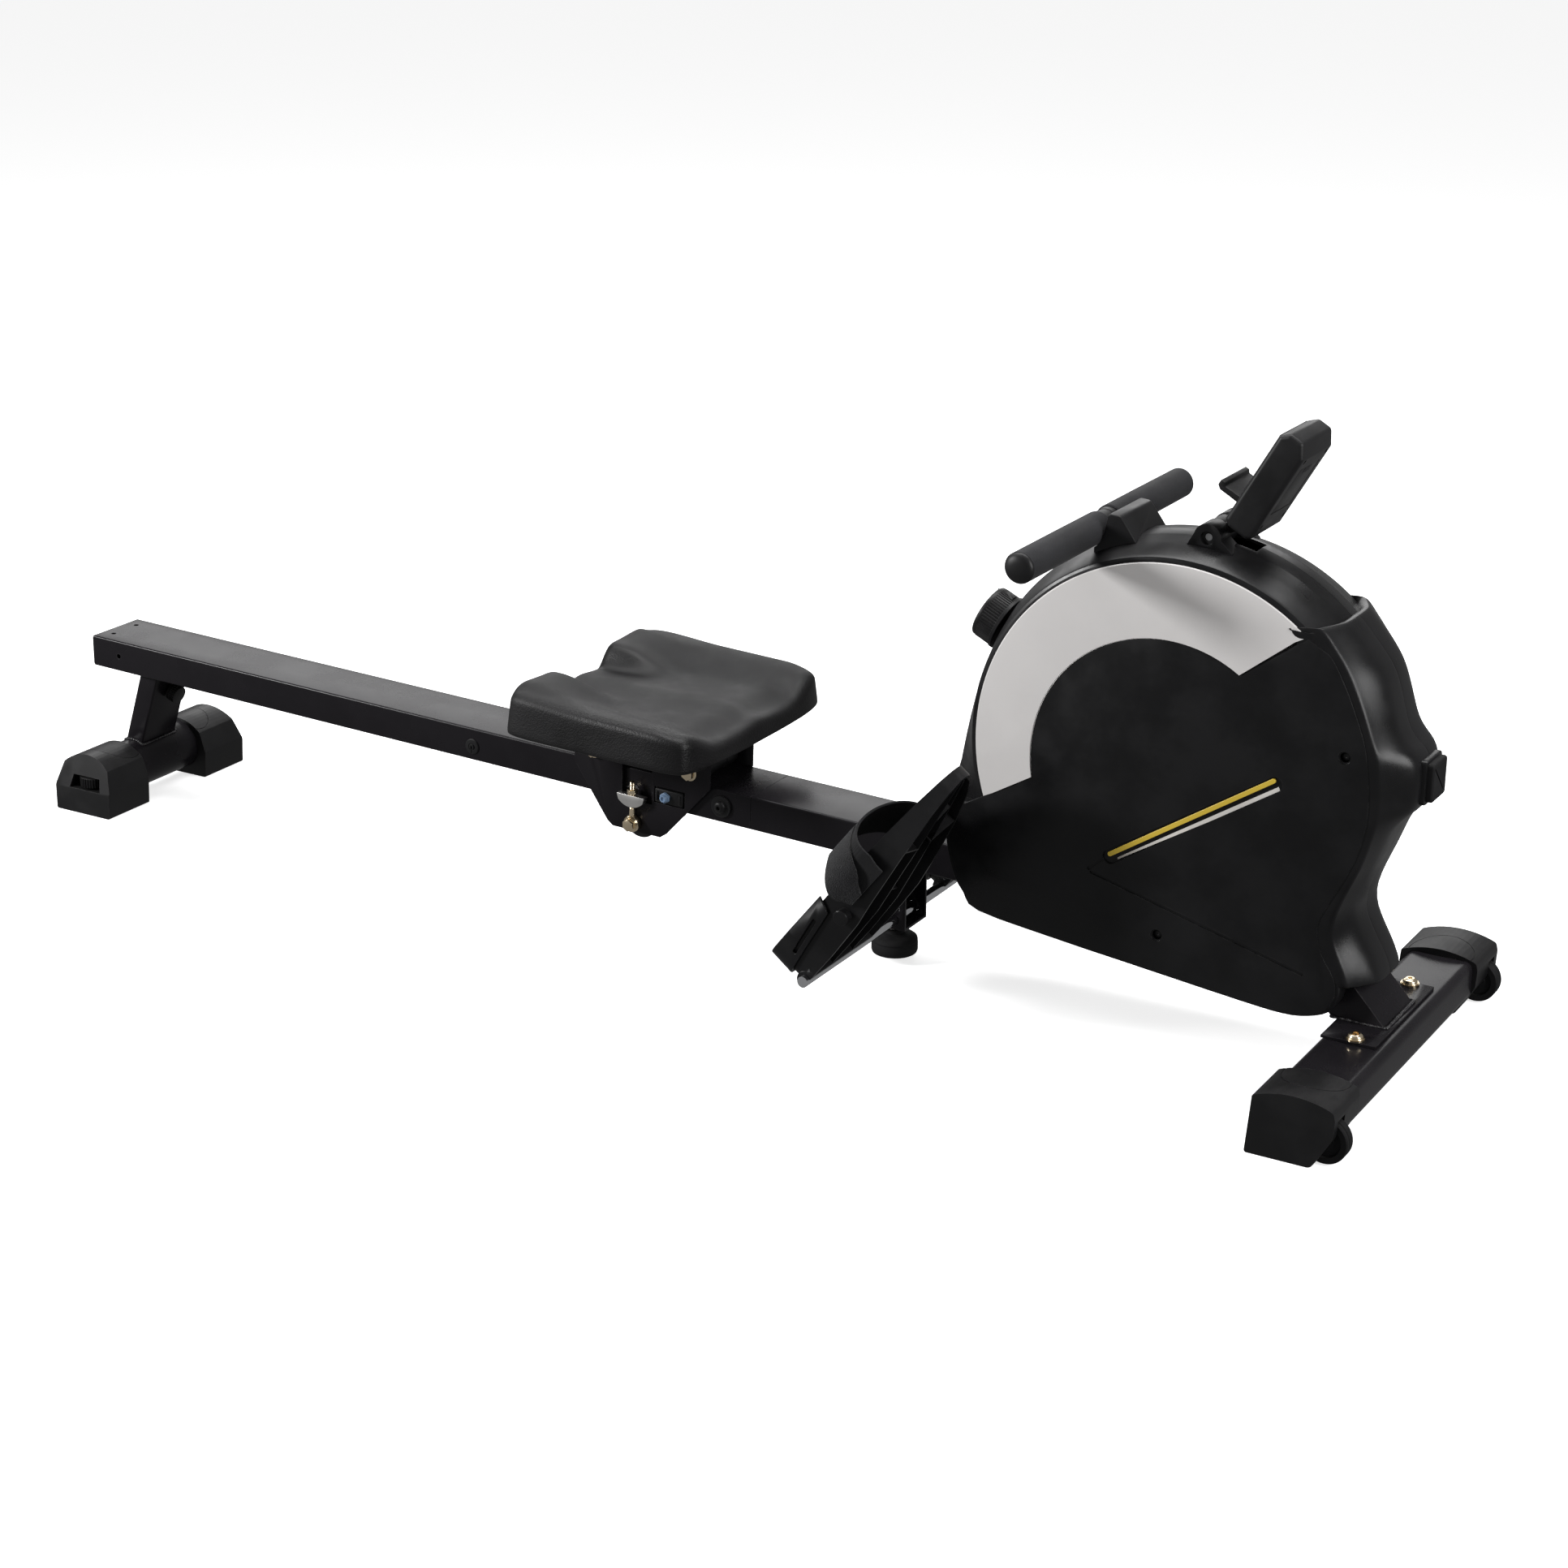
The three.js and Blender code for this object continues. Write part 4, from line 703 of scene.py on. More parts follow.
def make_rear_leg():
    half = 84
    tube = [(28, 0), (29.5, 0), (30, 0.5), (30, 2 * half - 0.5), (29.5, 2 * half), (28, 2 * half), (28, 0)]
    bm = shape_of(turned, tube, (REAR_X, -half, REAR_Z), (0, 1, 0), 64)

    def rear_face(z):
        return 29.6 + (z - 62.5) * STRUT_LEAN

    top = RAIL_TOP - 76 * math.tan(RAIL_SLOPE) - RAIL_HEIGHT - 0.5
    strut = [
        (rear_face(61), 61), (rear_face(61) + 27, 61), (
            rear_face(top) + 27, top - 0.4
        ), (rear_face(top), top + 0.4),
    ]
    extruded(bm, strut, -30, 30, edge=3, segments=3)
    finish(bm, "rear_leg_finished", "paint", "frame", ("rear_leg",))

    def seat_z(x):
        return REAR_Z + math.sqrt(max(0, REAR_RADIUS ** 2 - (x - REAR_X) ** 2)) + 0.6

    rear, front = rear_face(66) - 0.6, rear_face(66) + 27.6
    steps = [rear + (front - rear) * i / 10 for i in range(11)]
    beads = bmesh.new()
    for x in (rear, front):
        weld_bead(beads, [(x, -30, seat_z(x)), (x, 30, seat_z(x))], 1.9)
    for y in (-30.6, 30.6):
        weld_bead(beads, [(x, y, seat_z(x)) for x in steps], 1.9)
    finish(beads, "rear_leg_weld", "weld", "frame", angle=60)

    axis = Vector((0.943, 0, -0.333))
    start = Vector((81.2, 0, 129.6))
    grip = bmesh.new()
    bmesh.ops.create_cone(grip, cap_ends=False, segments=24, radius1=11, radius2=11, depth=12)
    lengthwise = [e for e in grip.edges if abs((e.verts[0].co - e.verts[1].co).z) > 1]
    bmesh.ops.subdivide_edges(grip, edges=lengthwise, cuts=2, use_grid_fill=True)
    cells = grip.faces[:]
    bmesh.ops.inset_individual(grip, faces=cells, thickness=0.45, depth=-0.8)
    rims = [e for e in grip.edges if e.is_boundary]
    bmesh.ops.holes_fill(grip, edges=rims, sides=0)
    caps = [f for f in grip.faces if len(f.verts) > 8]
    bmesh.ops.inset_region(grip, faces=caps, thickness=1.5, depth=0.8)
    turn = axis.to_track_quat("Z", "Y").to_matrix().to_4x4()
    grip.transform(Matrix.Translation(start + axis * 9) @ turn)
    turned(grip, rounded_rod(6, 5, 0.5), start, axis, 24)
    finish(grip, "rear_clamp_knob_finished", "plastic", "clamp_knob", ("rear_clamp_knob",), angle=30)


def make_rear_feet():
    sill = 30                            # below it the end face is upright, above it leans in

    def shell():
        crown = arc(41, 21, 51, 46, 131, 14)
        outline = [(-2, 0), (82, 0), (84, 33), *crown, (-1, 33)]
        bm = shape_of(extruded, rounded(outline, 2.5, 2), -122, -51.5)
        bmesh.ops.bisect_plane(
            bm, geom=bm.verts[:] + bm.edges[:] + bm.faces[:], plane_co=(0, 0, sill), plane_no=(0, 0, 1)
        )
        for vert in bm.verts:
            if vert.co.y < -121 and vert.co.z > sill:
                vert.co.y += (vert.co.z - sill) * 0.30
        socket = shape_of(bar, REAR_X, REAR_Z, -84.3, 0, REAR_RADIUS + 0.3, 0.1, 64)
        slot = shape_of(extruded, [(21, 31), (69, 31), (66, 47), (25, 47)], -130, -87)
        stem = shape_of(turned, rounded_rod(5.4, 44, 0.1), (45, -104, -1), (0, 0, 1), 24)
        ring = shape_of(
            turned, [(30.4, 0), (31.1, 0), (31.1, 60), (30.4, 60), (30.4, 0)], (0, 0, 0), (0, 0, 1), 64
        )
        bmesh.ops.scale(ring, vec=(1.05, 0.95, 1), verts=ring.verts)
        bmesh.ops.translate(ring, vec=(41, -62, 40), verts=ring.verts)
        core = shape_of(extruded, [(-2, 0), (82, 0), *[(x, z - 0.7) for x, z in crown]], -140, -40)
        return carved(bm, socket, slot, stem, carved(ring, core))

    both_sides(shell, "rear_foot_cap", "plastic", "frame", "rear_foot", soften=2.0)

    def wheel():
        bm = shape_of(extruded, gear_outline(16.5, 1.3, 30), -5.5, 5.5, along="z")
        bmesh.ops.translate(bm, vec=(45, -104, 39), verts=bm.verts)
        return turned(bm, rounded_rod(5, 38, 0.8), (45, -104, 1), (0, 0, 1), 32)

    both_sides(
        wheel, "thumbwheel_finished", "rubber", (
            "right_leveller", "left_leveller"
        ), "leveling_thumbwheel", soften=0.3,
    )


# ---------------------------------------------------------------- front stabiliser, post and wheels
TUBE = (1600, 1670, 21, 61)              # stabiliser tube: x and z limits
WHEEL_X, WHEEL_Y, WHEEL_Z, WHEEL_RADIUS = 1662, 212, 25, 23


def make_front_stabiliser():
    x0, x1, z0, z1 = TUBE
    outer = shape_of(extruded, rounded(rectangle(x0, x1, z0, z1), 10, 8), -200, 200)
    room = shape_of(extruded, rounded(rectangle(x0 + 2, x1 - 2, z0 + 2, z1 - 2), 8, 8), -201, 201)
    finish(carved(outer, room), "stabiliser_tube", "paint", "frame", ("front_stabiliser_tube",))
    from_frame("front_post", "paint", "frame", 1.0)

    lean = math.radians(47.4)
    foot = Vector((1624.5, 0, 64.6))
    beads = bmesh.new()
    reach = 20 / math.sin(lean)
    for x in (foot.x - reach - 1, foot.x + reach + 1):
        weld_bead(beads, [(x, -38, foot.z + 0.5), (x, 38, foot.z + 0.5)], 2.2)
    for y in (-39, 39):
        weld_bead(beads, [(foot.x - reach, y, foot.z + 0.5), (foot.x + reach, y, foot.z + 0.5)], 1.8)
    finish(beads, "front_post_weld", "weld", "frame", angle=60)

    def bolt():
        bm = socket_head((1635, -75.4, 64.6), (0, 0, 1), 7.6, 5.2, 4.6, washer=1.6, washer_radius=9.4)
        turned(
            bm, [(4.5, 0), (8.6, 0), (8.8, 0.5), (8.6, 1), (4.5, 1), (4.5, 0)], (1635, -75.4, 66.4),
            (0, 0, 1), 32
        )
        return turned(bm, rounded_rod(4, 30, 0.5), (1635, -75.4, 34.5), (0, 0, 1), 24)

    both_sides(bolt, "base_bolt_finished", "zinc", "frame", "base_bolt")


def make_front_feet():
    def shell():
        crown = arc(1634, -34, 102.5, 113.5, 67.5, 14)[::-1]
        outline = [(1588, 0, 3), (1654, 0, 8), (1674, 34, 12), (1675, 53, 9), *crown, (1593, 57, 7)]
        bm = shape_of(extruded, rounded(outline, 6, 4), -230, -166)
        x0, x1, z0, z1 = TUBE
        socket = shape_of(
            extruded, rounded(rectangle(x0 - 0.3, x1 + 0.3, z0 - 0.3, z1 + 0.3), 10, 8), -200.3, -160,
        )
        pocket = shape_of(bar, WHEEL_X, WHEEL_Z, -WHEEL_Y - 9, -WHEEL_Y + 9, WHEEL_RADIUS + 2.5, 0.4, 48)
        mouth = shape_of(block, WHEEL_X, 1700, -WHEEL_Y - 9, -WHEEL_Y + 9, -5, WHEEL_Z + WHEEL_RADIUS + 1.5)
        pin = shape_of(bar, WHEEL_X, WHEEL_Z, -WHEEL_Y - 15, -WHEEL_Y + 11, 4.3, 0.2, 24)
        ring = shape_of(
            turned, [(33.0, 0), (33.8, 0), (33.8, 60), (33.0, 60), (33.0, 0)], (0, 0, 0), (0, 0, 1), 64
        )
        bmesh.ops.translate(ring, vec=(1634, -172, 40), verts=ring.verts)
        core = shape_of(extruded, [(1580, 0), (1690, 0), *[(x, z - 0.7) for x, z in crown]], -250, -120)
        return carved(bm, socket, pocket, mouth, pin, carved(ring, core))

    both_sides(shell, "front_foot_cap", "plastic", "frame", "front_foot", soften=3.2)

    def wheel():
        half, r = 7.5, WHEEL_RADIUS
        tread = [
            (r - 1.2, 0), (r, 1.2), (r, 4.2), (r - 0.8, 4.8), (r - 0.8, 5.6), (r, 6.2), (r, 13.8),
            (r - 1.2, 15)
        ]
        hub = [(0, 1.5), (9, 1.5), (9.6, 2.4), (15.5, 2.4), (16.4, 0)]
        profile = [*hub, *tread, (16.4, 15), (15.5, 12.6), (9.6, 12.6), (9, 13.5), (0, 13.5)]
        bm = shape_of(turned, profile, (WHEEL_X, -WHEEL_Y - half, WHEEL_Z), (0, 1, 0), 56)
        return bar(bm, WHEEL_X, WHEEL_Z, -WHEEL_Y - 14, -WHEEL_Y + 10.5, 4, 0.8, 24)

    both_sides(wheel, "transport_wheel_finished", "rubber", ("right_wheel", "left_wheel"), "transport_wheel")


# ---------------------------------------------------------------- housing covers and panels
SEAM_GAP = 0.25
LOWER_EDGE = [
    (1181, 217), (1180, 178), (1189, 140), (1201, 120), (1219, 103), (1307, 91), (1398, 81), (1511, 69),
    (1554, 66), (1579, 69), (1600, 78), (1609, 95), (1607, 116), (1593, 139), (1588, 165), (1598, 190),
    (1610, 214), (1624, 250), (1630, 292), (1624, 348), (1611, 385), (1597, 415), (1581, 440),
]
DISC = (1414, 285.5, 140)                # dark disc inside the white crescent: centre and radius
SCREWS = ((1600, 340), (1418, 120))      # x and z of the screws in each cover


def cover_outline(radius, core, grow=0.0):
    """Side view of the housing at one depth; core is how straight its rear flank has become."""
    top = arc(RING_X, RING_Z, radius, 46, 162.5, 60)
    rear = []
    for i, (x, z) in enumerate(arc(RING_X, RING_Z, radius, 162.5, 200, 12)[1:], start=1):
        straight = Vector((1207, 361)).lerp(Vector((1166, 214)), i / 12)
        rear.append((x + (straight.x - x) * core, z + (straight.y - z) * core))
    lower = [(x - 13 * core, z - 5 * core) if i == 0 else (x, z) for i, (x, z) in enumerate(LOWER_EDGE)]
    return inset(smoothed(top + rear, lower), grow)


def smoothed(fixed, corners):
    """Fixed points followed by a run of corner points drawn as a flowing curve."""
    run = [Vector(p) for p in (fixed[-1], *corners, fixed[0])]
    curve = []
    for i in range(1, len(run) - 2):
        p0, p1, p2, p3 = run[i - 1:i + 3]
        for k in range(3):
            t = k / 3
            curve.append(tuple(
                0.5 * ((2 * p1) + (p2 - p0) * t + (2 * p0 - 5 * p1 + 4 * p2 - p3) * t * t
                       + (3 * p1 - p0 - 3 * p2 + p3) * t ** 3)
            ))
    curve.append(tuple(run[-2]))
    return list(fixed) + curve


def inset(points, distance):
    """Each point of an outline moved inwards by a distance."""
    count = len(points)
    moved = []
    for i, point in enumerate(points):
        before = (Vector(point) - Vector(points[i - 1])).normalized()
        after = (Vector(points[(i + 1) % count]) - Vector(point)).normalized()
        normal = Vector((-before.y - after.y, before.x + after.x)).normalized()
        reach = distance / max(0.5, normal.dot(Vector((-before.y, before.x))))
        moved.append(tuple(Vector(point) + normal * reach))
    return moved


def housing(levels, grow):
    """A closed solid skinned through side outlines at several depths."""
    rows = [
        [(x, y, z) for x, z in cover_outline(radius, core, grow + extra)] for y, radius, core, extra in levels
    ]
    return shape_of(bridged, rows, closed=True, capped=True)


def slanted_slot(low, high, half, y0, y1):
    """A round-ended slot between two points of the side view."""
    a, b = Vector(low), Vector(high)
    turn = math.degrees(math.atan2(b.y - a.y, b.x - a.x))
    outline = arc(a.x, a.y, half, turn + 90, turn + 270, 10) + arc(b.x, b.y, half, turn - 90, turn + 90, 10)
    return shape_of(extruded, outline, y0, y1)


def make_covers():
    def panel_outline(grow=0.0):
        """The raised lower panel: disc, both straight shoulders and the lower edge."""
        lower = cover_outline(211, 0, 3.2)[73:]
        disc = arc(*DISC, 56.5, 190.5, 40)
        return inset([(1557, 450), *disc, (1272.5, 258.5), *lower[1:]], grow)

    def shell():
        outer_levels = [
            (-60, 211, 0, 1.2), (-59.6, 211, 0, 0.5), (-58.6, 212.5, 0, 0), (-56, 214.2, 0.02, 0),
            (-34, 221.5, 0.75, 0), (-19.2, 225.4, 1, 0), (-17.6, 226, 1, 0), (-SEAM_GAP, 227, 1, 0),
        ]
        room_levels = [(-57.4, 211, 0, 0), (-34, 221.5, 0.75, 0), (-18, 226, 1, 0), (1, 227, 1, 0)]
        panel = shape_of(extruded, panel_outline(), -61.4, -59, edge=0.9)
        knob_axis = Vector((math.cos(KNOB_TURN), 0, math.sin(KNOB_TURN)))
        centre = Vector((RING_X, 0, RING_Z))
        ways = [
            housing(room_levels, 2.9),
            shape_of(block, 1140, 1215, -40.8, 5, 115, 166),
            shape_of(block, 1309, 1329, -15, 5, 470, 530),
            shape_of(extruded, post_outline(0.8), -38.8, 5),
            shape_of(turned, rounded_rod(6, 60, 0.1), centre + knob_axis * 190, knob_axis, 24),
            shape_of(block, CONSOLE_X - 15, CONSOLE_X + 42, -13, 5, 500, 540),
            slanted_slot((1364, 192.5), (1533, 301), 7.5, -65, -58.9),
            slanted_slot((1345, 172.5), (1572, 112.5), 1.7, -65, -60.1),
            slanted_slot((1342, 176), (1358, 190), 1.7, -65, -60.1),
        ]
        for x, z in SCREWS:
            ways.append(shape_of(bar, x, z, -70, -50, 5, 0.1, 32))
            ways.append(shape_of(bar, x, z, -70, -59.6, 6.5, 0.4, 32))
        body = carved(housing(outer_levels, 0), panel, operation="UNION")
        return carved(body, *ways)

    both_sides(shell, "cover_shell", "shell", "frame", "cover", soften=0.35)

    def screw():
        bm = bmesh.new()
        for x, z in SCREWS:
            turned(
                bm, [(0, 0), (4.4, 0), (4.4, 1.2), (3.2, 2.2), (1.1, 2.4), (0, 1.4)], (x, -55, z),
                (0, -1, 0), 24
            )
        return bm

    both_sides(screw, "cover_screw", "plastic", "frame")

    def stripe():
        return slanted_slot((1364.5, 195.8), (1531, 304), 2.4, -61.9, -58.4)

    both_sides(stripe, "accent_stripe", "accent", "frame", soften=0.5)

    # A pale strip along the lower bevel under the accent stripe: a painted highlight in place of the light
    # that this bevel reflects.
    def painted_highlight():
        a, b = Vector((1372, 193)), Vector((1536, 298.5))
        across = Vector((b.y - a.y, a.x - b.x)).normalized()
        rows = []
        for point, wide in ((a, 1.6), (b, 5.2)):
            low = point + across * wide
            rows.append([
                (point.x, -59.1, point.y), (low.x, -60.9, low.y), (low.x, -58.5, low.y),
                (point.x, -58.5, point.y),
            ])
        return shape_of(bridged, rows, closed=True, capped=True)

    both_sides(painted_highlight, "painted_highlight_strip", "painted_highlight", "frame")


def post_outline(extra):
    lean = math.radians(47.4)
    along = Vector((-math.cos(lean), math.sin(lean)))
    across = Vector((math.sin(lean), math.cos(lean))) * (20 + extra)
    foot = Vector((1624.5, 63))
    return [tuple(foot + along * t + across * n) for t, n in ((-60, -1), (-60, 1), (220, 1), (220, -1))]


def make_crescents():
    def panel():
        steps = 72
        fine = arc(RING_X, RING_Z, 207.6, 49, 198, steps)
        band = arc(RING_X, RING_Z, 195.5, 50.5, 197.4, steps)
        inner = arc(DISC[0], DISC[1], DISC[2] + 0.8, 56.9, 190.3, steps)
        front = [
            [(x, -60.7, z) for x, z in fine], [
                (x, -61.5, z) for x, z in arc(RING_X, RING_Z, 206.6, 49.2, 197.9, steps)
            ],
            [(x, -62.4, z) for x, z in band], [(x, -62.4, z) for x, z in inner],
        ]
        back = [[(x, -60.2, z) for x, z in inner], [(x, -60.2, z) for x, z in fine]]
        bm = shape_of(bridged, [*front, *back])
        bmesh.ops.remove_doubles(bm, verts=bm.verts, dist=0.001)
        bmesh.ops.holes_fill(bm, edges=[e for e in bm.edges if e.is_boundary], sides=0)
        return bm

    both_sides(panel, "crescent_panel_finished", "white", "frame", "crescent_panel", angle=12)


# Nose cover: height, and how far forward its middle and its edges reach.
NOSE = [
    (455, 1570, 1557), (461, 1577, 1563), (462, 1584, 1569), (447, 1597, 1580), (432, 1610, 1592),
    (415, 1624, 1601), (385, 1633, 1615),
    (358, 1640, 1625), (347, 1652, 1629), (336, 1665, 1631), (291, 1665, 1635), (281, 1655, 1634),
    (266, 1640, 1631), (230, 1628, 1623), (179, 1605, 1598), (152, 1617, 1596), (125, 1634, 1611),
    (106, 1641, 1617),
]


def make_nose():
    depths = [(-61, 0.0, 24), (-60.6, 0.0, 0), (-56, 0.1, 0), (-46, 0.45, 0), (-34, 0.85, 0), (-24, 1.0, 0),
              (-0.35, 1.02, 0), (0, 0.985, 0)]
    levels = depths + [(-y, share, back) for y, share, back in reversed(depths[:-1])]
    rows = []
    for y, share, back in levels:
        rows.append([(edge + (middle - edge) * share - back, y, z) for z, middle, edge in NOSE])
    bm = shape_of(bridged, rows)
    bmesh.ops.recalc_face_normals(bm, faces=bm.faces)
    bmesh.ops.solidify(bm, geom=bm.faces[:], thickness=2.6)
    finish(bm, "front_nose_shell", "shell", "frame", ("front_nose_cover",), levels=2)

    outline = rounded([(y, z) for y, z in rectangle(-19, 19, 294, 333)], 5, 6)
    pad = shape_of(extruded, outline, 1662, 1673.5, along="x", edge=2.4, segments=4)
    faces = [f for f in pad.faces if f.normal.x > 0.99 and f.calc_area() > 400]
    bmesh.ops.inset_region(pad, faces=faces, thickness=3.2, depth=-0.7)
    rim = shape_of(
        extruded, rounded([(y, z) for y, z in rectangle(-22, 22, 291, 336)], 6, 6), 1658, 1667, along="x",
        edge=1.4
    )
    finish(pad, "storage_bumper_finished", "rubber", "frame", ("storage_bumper",), soften=0.4)
    finish(rim, "bumper_surround", "shell", "frame")


# ---------------------------------------------------------------- resistance knob
KNOB_TURN = math.radians(154)


def make_knob():
    axis = Vector((math.cos(KNOB_TURN), 0, math.sin(KNOB_TURN)))
    start = Vector((RING_X, 0, RING_Z)) + axis * 228
    bm = shape_of(extruded, gear_outline(28, 0.8, 60), 4, 21, along="z")
    turned(bm, [(0, 0), (28.6, 0), (29, 0.5), (29, 3.6), (28.4, 4.1), (0, 4.1)], (0, 0, 0), (0, 0, 1), 64)
    cap = [(0, 20.8), (27.6, 20.8), (27.8, 22), *[
        (25.2 + 2.4 * math.cos(t), 23.4 + 2.4 * math.sin(t)) for t in quarter(5)
    ],
           (23, 25.8), (22, 25.0), (0, 25.0)]
    turned(bm, cap, (0, 0, 0), (0, 0, 1), 64)
    extruded(bm, [(20, -4.4), (27.2, 0), (20, 4.4)], 24.8, 26.2, along="z", edge=0.3)
    turned(bm, rounded_rod(5, 32, 0.4), (0, 0, -28), (0, 0, 1), 24)
    mark = [(28.0, -5.5, 6.5), (28.0, 5.5, 6.5), (28.0, 0, 17.5)]
    outline = [(y, z) for _, y, z in mark]
    extruded(bm, outline, 26.5, 28.9, along="x", edge=0.4)
    facing = Matrix.Rotation(math.radians(90), 4, "Z")
    bm.transform(Matrix.Translation(start) @ axis.to_track_quat("Z", "Y").to_matrix().to_4x4() @ facing)
    finish(bm, "resistance_knob_finished", "plastic", "tension_knob", ("resistance_knob",), angle=35)


# ---------------------------------------------------------------- handle, cradle and pull strap
HANDLE_X, HANDLE_Z, GRIP_RADIUS = 1316, 513, 15.5


def make_handle(sizes):
    half, grip = 189, sizes.grip_radius / MM
    core = bmesh.new()
    dome = [(0, 0), (6, 0.3), (11, 1.6), (13.6, 3.4), (14.9, 5.2), (15.1, 6.4), (14.6, 7), (11, 7), (11, 30)]
    for side in (-1, 1):
        turned(core, [*dome, (0, 30)], (HANDLE_X, side * half, HANDLE_Z), (0, -side, 0), 56)
    collar = [
        (11, 0), (13.4, 0), (14, 0.6), (14, 8), (13.3, 8.8), (13.3, 16.2), (14, 17), (14, 24.4), (13.4, 25),
        (11, 25)
    ]
    turned(core, [(0, 0), *collar, (0, 25)], (HANDLE_X, -12.5, HANDLE_Z), (0, 1, 0), 48)
    bar(core, HANDLE_X, HANDLE_Z, -170, 170, 11, 0.5, 32)
    block(core, HANDLE_X - 4, HANDLE_X + 4, -12, 12, HANDLE_Z - 17, HANDLE_Z - 6, 1.2)
    finish(core, "handle_bar_finished", "plastic", "handlebar", ("handle_bar",))

    def sleeve():
        length = 171
        profile = [(11.3, 0), (grip - 1.2, 0), (grip, 1.4), (grip + 0.1, length / 2), (grip, length - 1.4),
                   (grip - 1.2, length), (11.3, length), (11.3, 0)]
        return shape_of(turned, profile, (HANDLE_X, -184, HANDLE_Z), (0, 1, 0), 64)

    both_sides(sleeve, "handle_grip_sleeve", "foam", "handlebar", "handle_grip")

    outline = [
        (1323, 470), (1372, 470), (1372, 503, 16), (1350, 533, 7), (1337, 534, 4), (1333, 514, 12),
        (1323, 498)
    ]
    cradle_body = shape_of(extruded, rounded(outline, 1.5), -36, 36, edge=4, segments=4)
    grip_way = shape_of(bar, HANDLE_X, HANDLE_Z, -60, 60, GRIP_RADIUS + 0.6, 0.1, 64)
    strap_way = shape_of(block, 1290, 1372, -24, 24, 440, 498)
    crown = [(0, 227.6), (19, 225.9), (34, 221.9), (56, 214.6), (61, 211.4)]
    levels = [
        (-y, radius, 0, 0) for y, radius in reversed(crown[1:])
    ] + [(y, radius, 0, 0) for y, radius in crown]
    cradle = carved(cradle_body, grip_way, strap_way, housing(levels, 0))
    finish(cradle, "handle_cradle_finished", "shell", "frame", ("handle_cradle",), soften=0.8)


def make_pull_strap():
    """The strap rises from the reel, turns over a lip and lies flat where the handle draws it out."""
    rise = [(1321.5, 0, 322 + (488 - 322) * i / 12) for i in range(13)]
    bend = [(x, 0, z) for x, z in arc(1316.5, 489, 5, 0, 90, 8)]
    run = [(1316.5 - 6 * i / 80, 0, 494.2) for i in range(1, 81)]
    bm = shape_of(ribbon, [*rise, *bend, *run], (0, 1, 0), 23, 1.6)
    strap = finish(bm, "pull_strap_woven", "webbing", None, ("pull_strap",))
    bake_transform(strap)


# ---------------------------------------------------------------- console
def make_console():
    half, length, thick = 38, 112, 16
    section = [
        (4, -thick), (98, -thick), (length, -7), (length, 8), (104, thick), (5, thick), (0, 10), (0, -11)
    ]
    section = rounded(section, 5, 4)
    body = shape_of(extruded, section, -half, half, edge=6.5, segments=5)
    seam = shape_of(block, -5, 120, -45, 45, -2.3, -1.6)
    core = shape_of(extruded, inset(section, 0.7), -half + 0.7, half - 0.7, edge=6, segments=4)
    tools = [
        carved(seam, core),
        shape_of(block, 37, 103, -32, 32, thick - 2.4, thick + 5, 1.5),
        shape_of(turned, rounded_rod(6.4, 20, 0.2), (14, 0, thick - 7), (0, 0, 1), 40),
        shape_of(block, 29.6, 84.4, -24.2, 24.2, -thick - 5, -thick + 2.6, 0.8),
        shape_of(turned, rounded_rod(7, 6, 0.3), (57, 0, -thick - 3.8), (0, 0, 1), 40),
    ]
    for s in (16, 94):
        for y in (-27, 27):
            tools.append(shape_of(turned, rounded_rod(2.6, 12, 0.2), (s, y, -thick - 4), (0, 0, 1), 24))
    body = carved(body, *tools)
    shelf = shape_of(
        extruded, rounded([(22, 12), (22, 37), (25, 41), (31, 41), (31, 36), (28, 34), (29, 12)], 1.5), -30,
        30, edge=1.5
    )
    to_slab = CONSOLE.inverted() @ MACHINE
    knuckle = shape_of(bar, CONSOLE_X, CONSOLE_Z, -11, 11, 13, 1.2, 48)
    neck = shape_of(extruded, [(1433, 526), (1448, 522), (1480, 538), (1466, 545)], -11, 11, edge=1.5)
    for part in (knuckle, neck):
        part.transform(to_slab)
    body = carved(body, shelf, knuckle, neck, operation="UNION")
    finish(body, "console_case", "plastic", "console", ("console_housing",), CONSOLE, soften=0.5)

    rim = shape_of(block, 36, 104, -33, 33, thick - 0.6, thick + 0.6, 0.5)
    finish(
        carved(rim, shape_of(block, 39, 101, -30, 30, 0, 30)), "display_bezel", "shell", "console", (),
        CONSOLE
    )

    door = shape_of(block, 30.3, 83.7, -23.7, 23.7, -thick + 0.2, -thick + 2.2, 0.5)
    for i in range(5):
        block(door, 76 + i * 1.4, 76.8 + i * 1.4, -8, 8, -thick - 0.3, -thick + 1, 0.15, 1)
    finish(door, "battery_door_finished", "plastic", "console", ("battery_door",), CONSOLE)

    key = [(0, 0), (5.9, 0), (6, 4), (5.6, 5.2), (4.6, 5.8), (3.4, 5.7), (0, 5.3)]
    button = shape_of(turned, key, (14, 0, thick - 4.5), (0, 0, 1), 40)
    finish(button, "console_button_finished", "rubber", "button", ("console_button",), CONSOLE)

    from_frame("console_mount", "shell", "frame", 1.6)


# ---------------------------------------------------------------- middle bracket, rod and levelling foot
FOOT_X = 1090


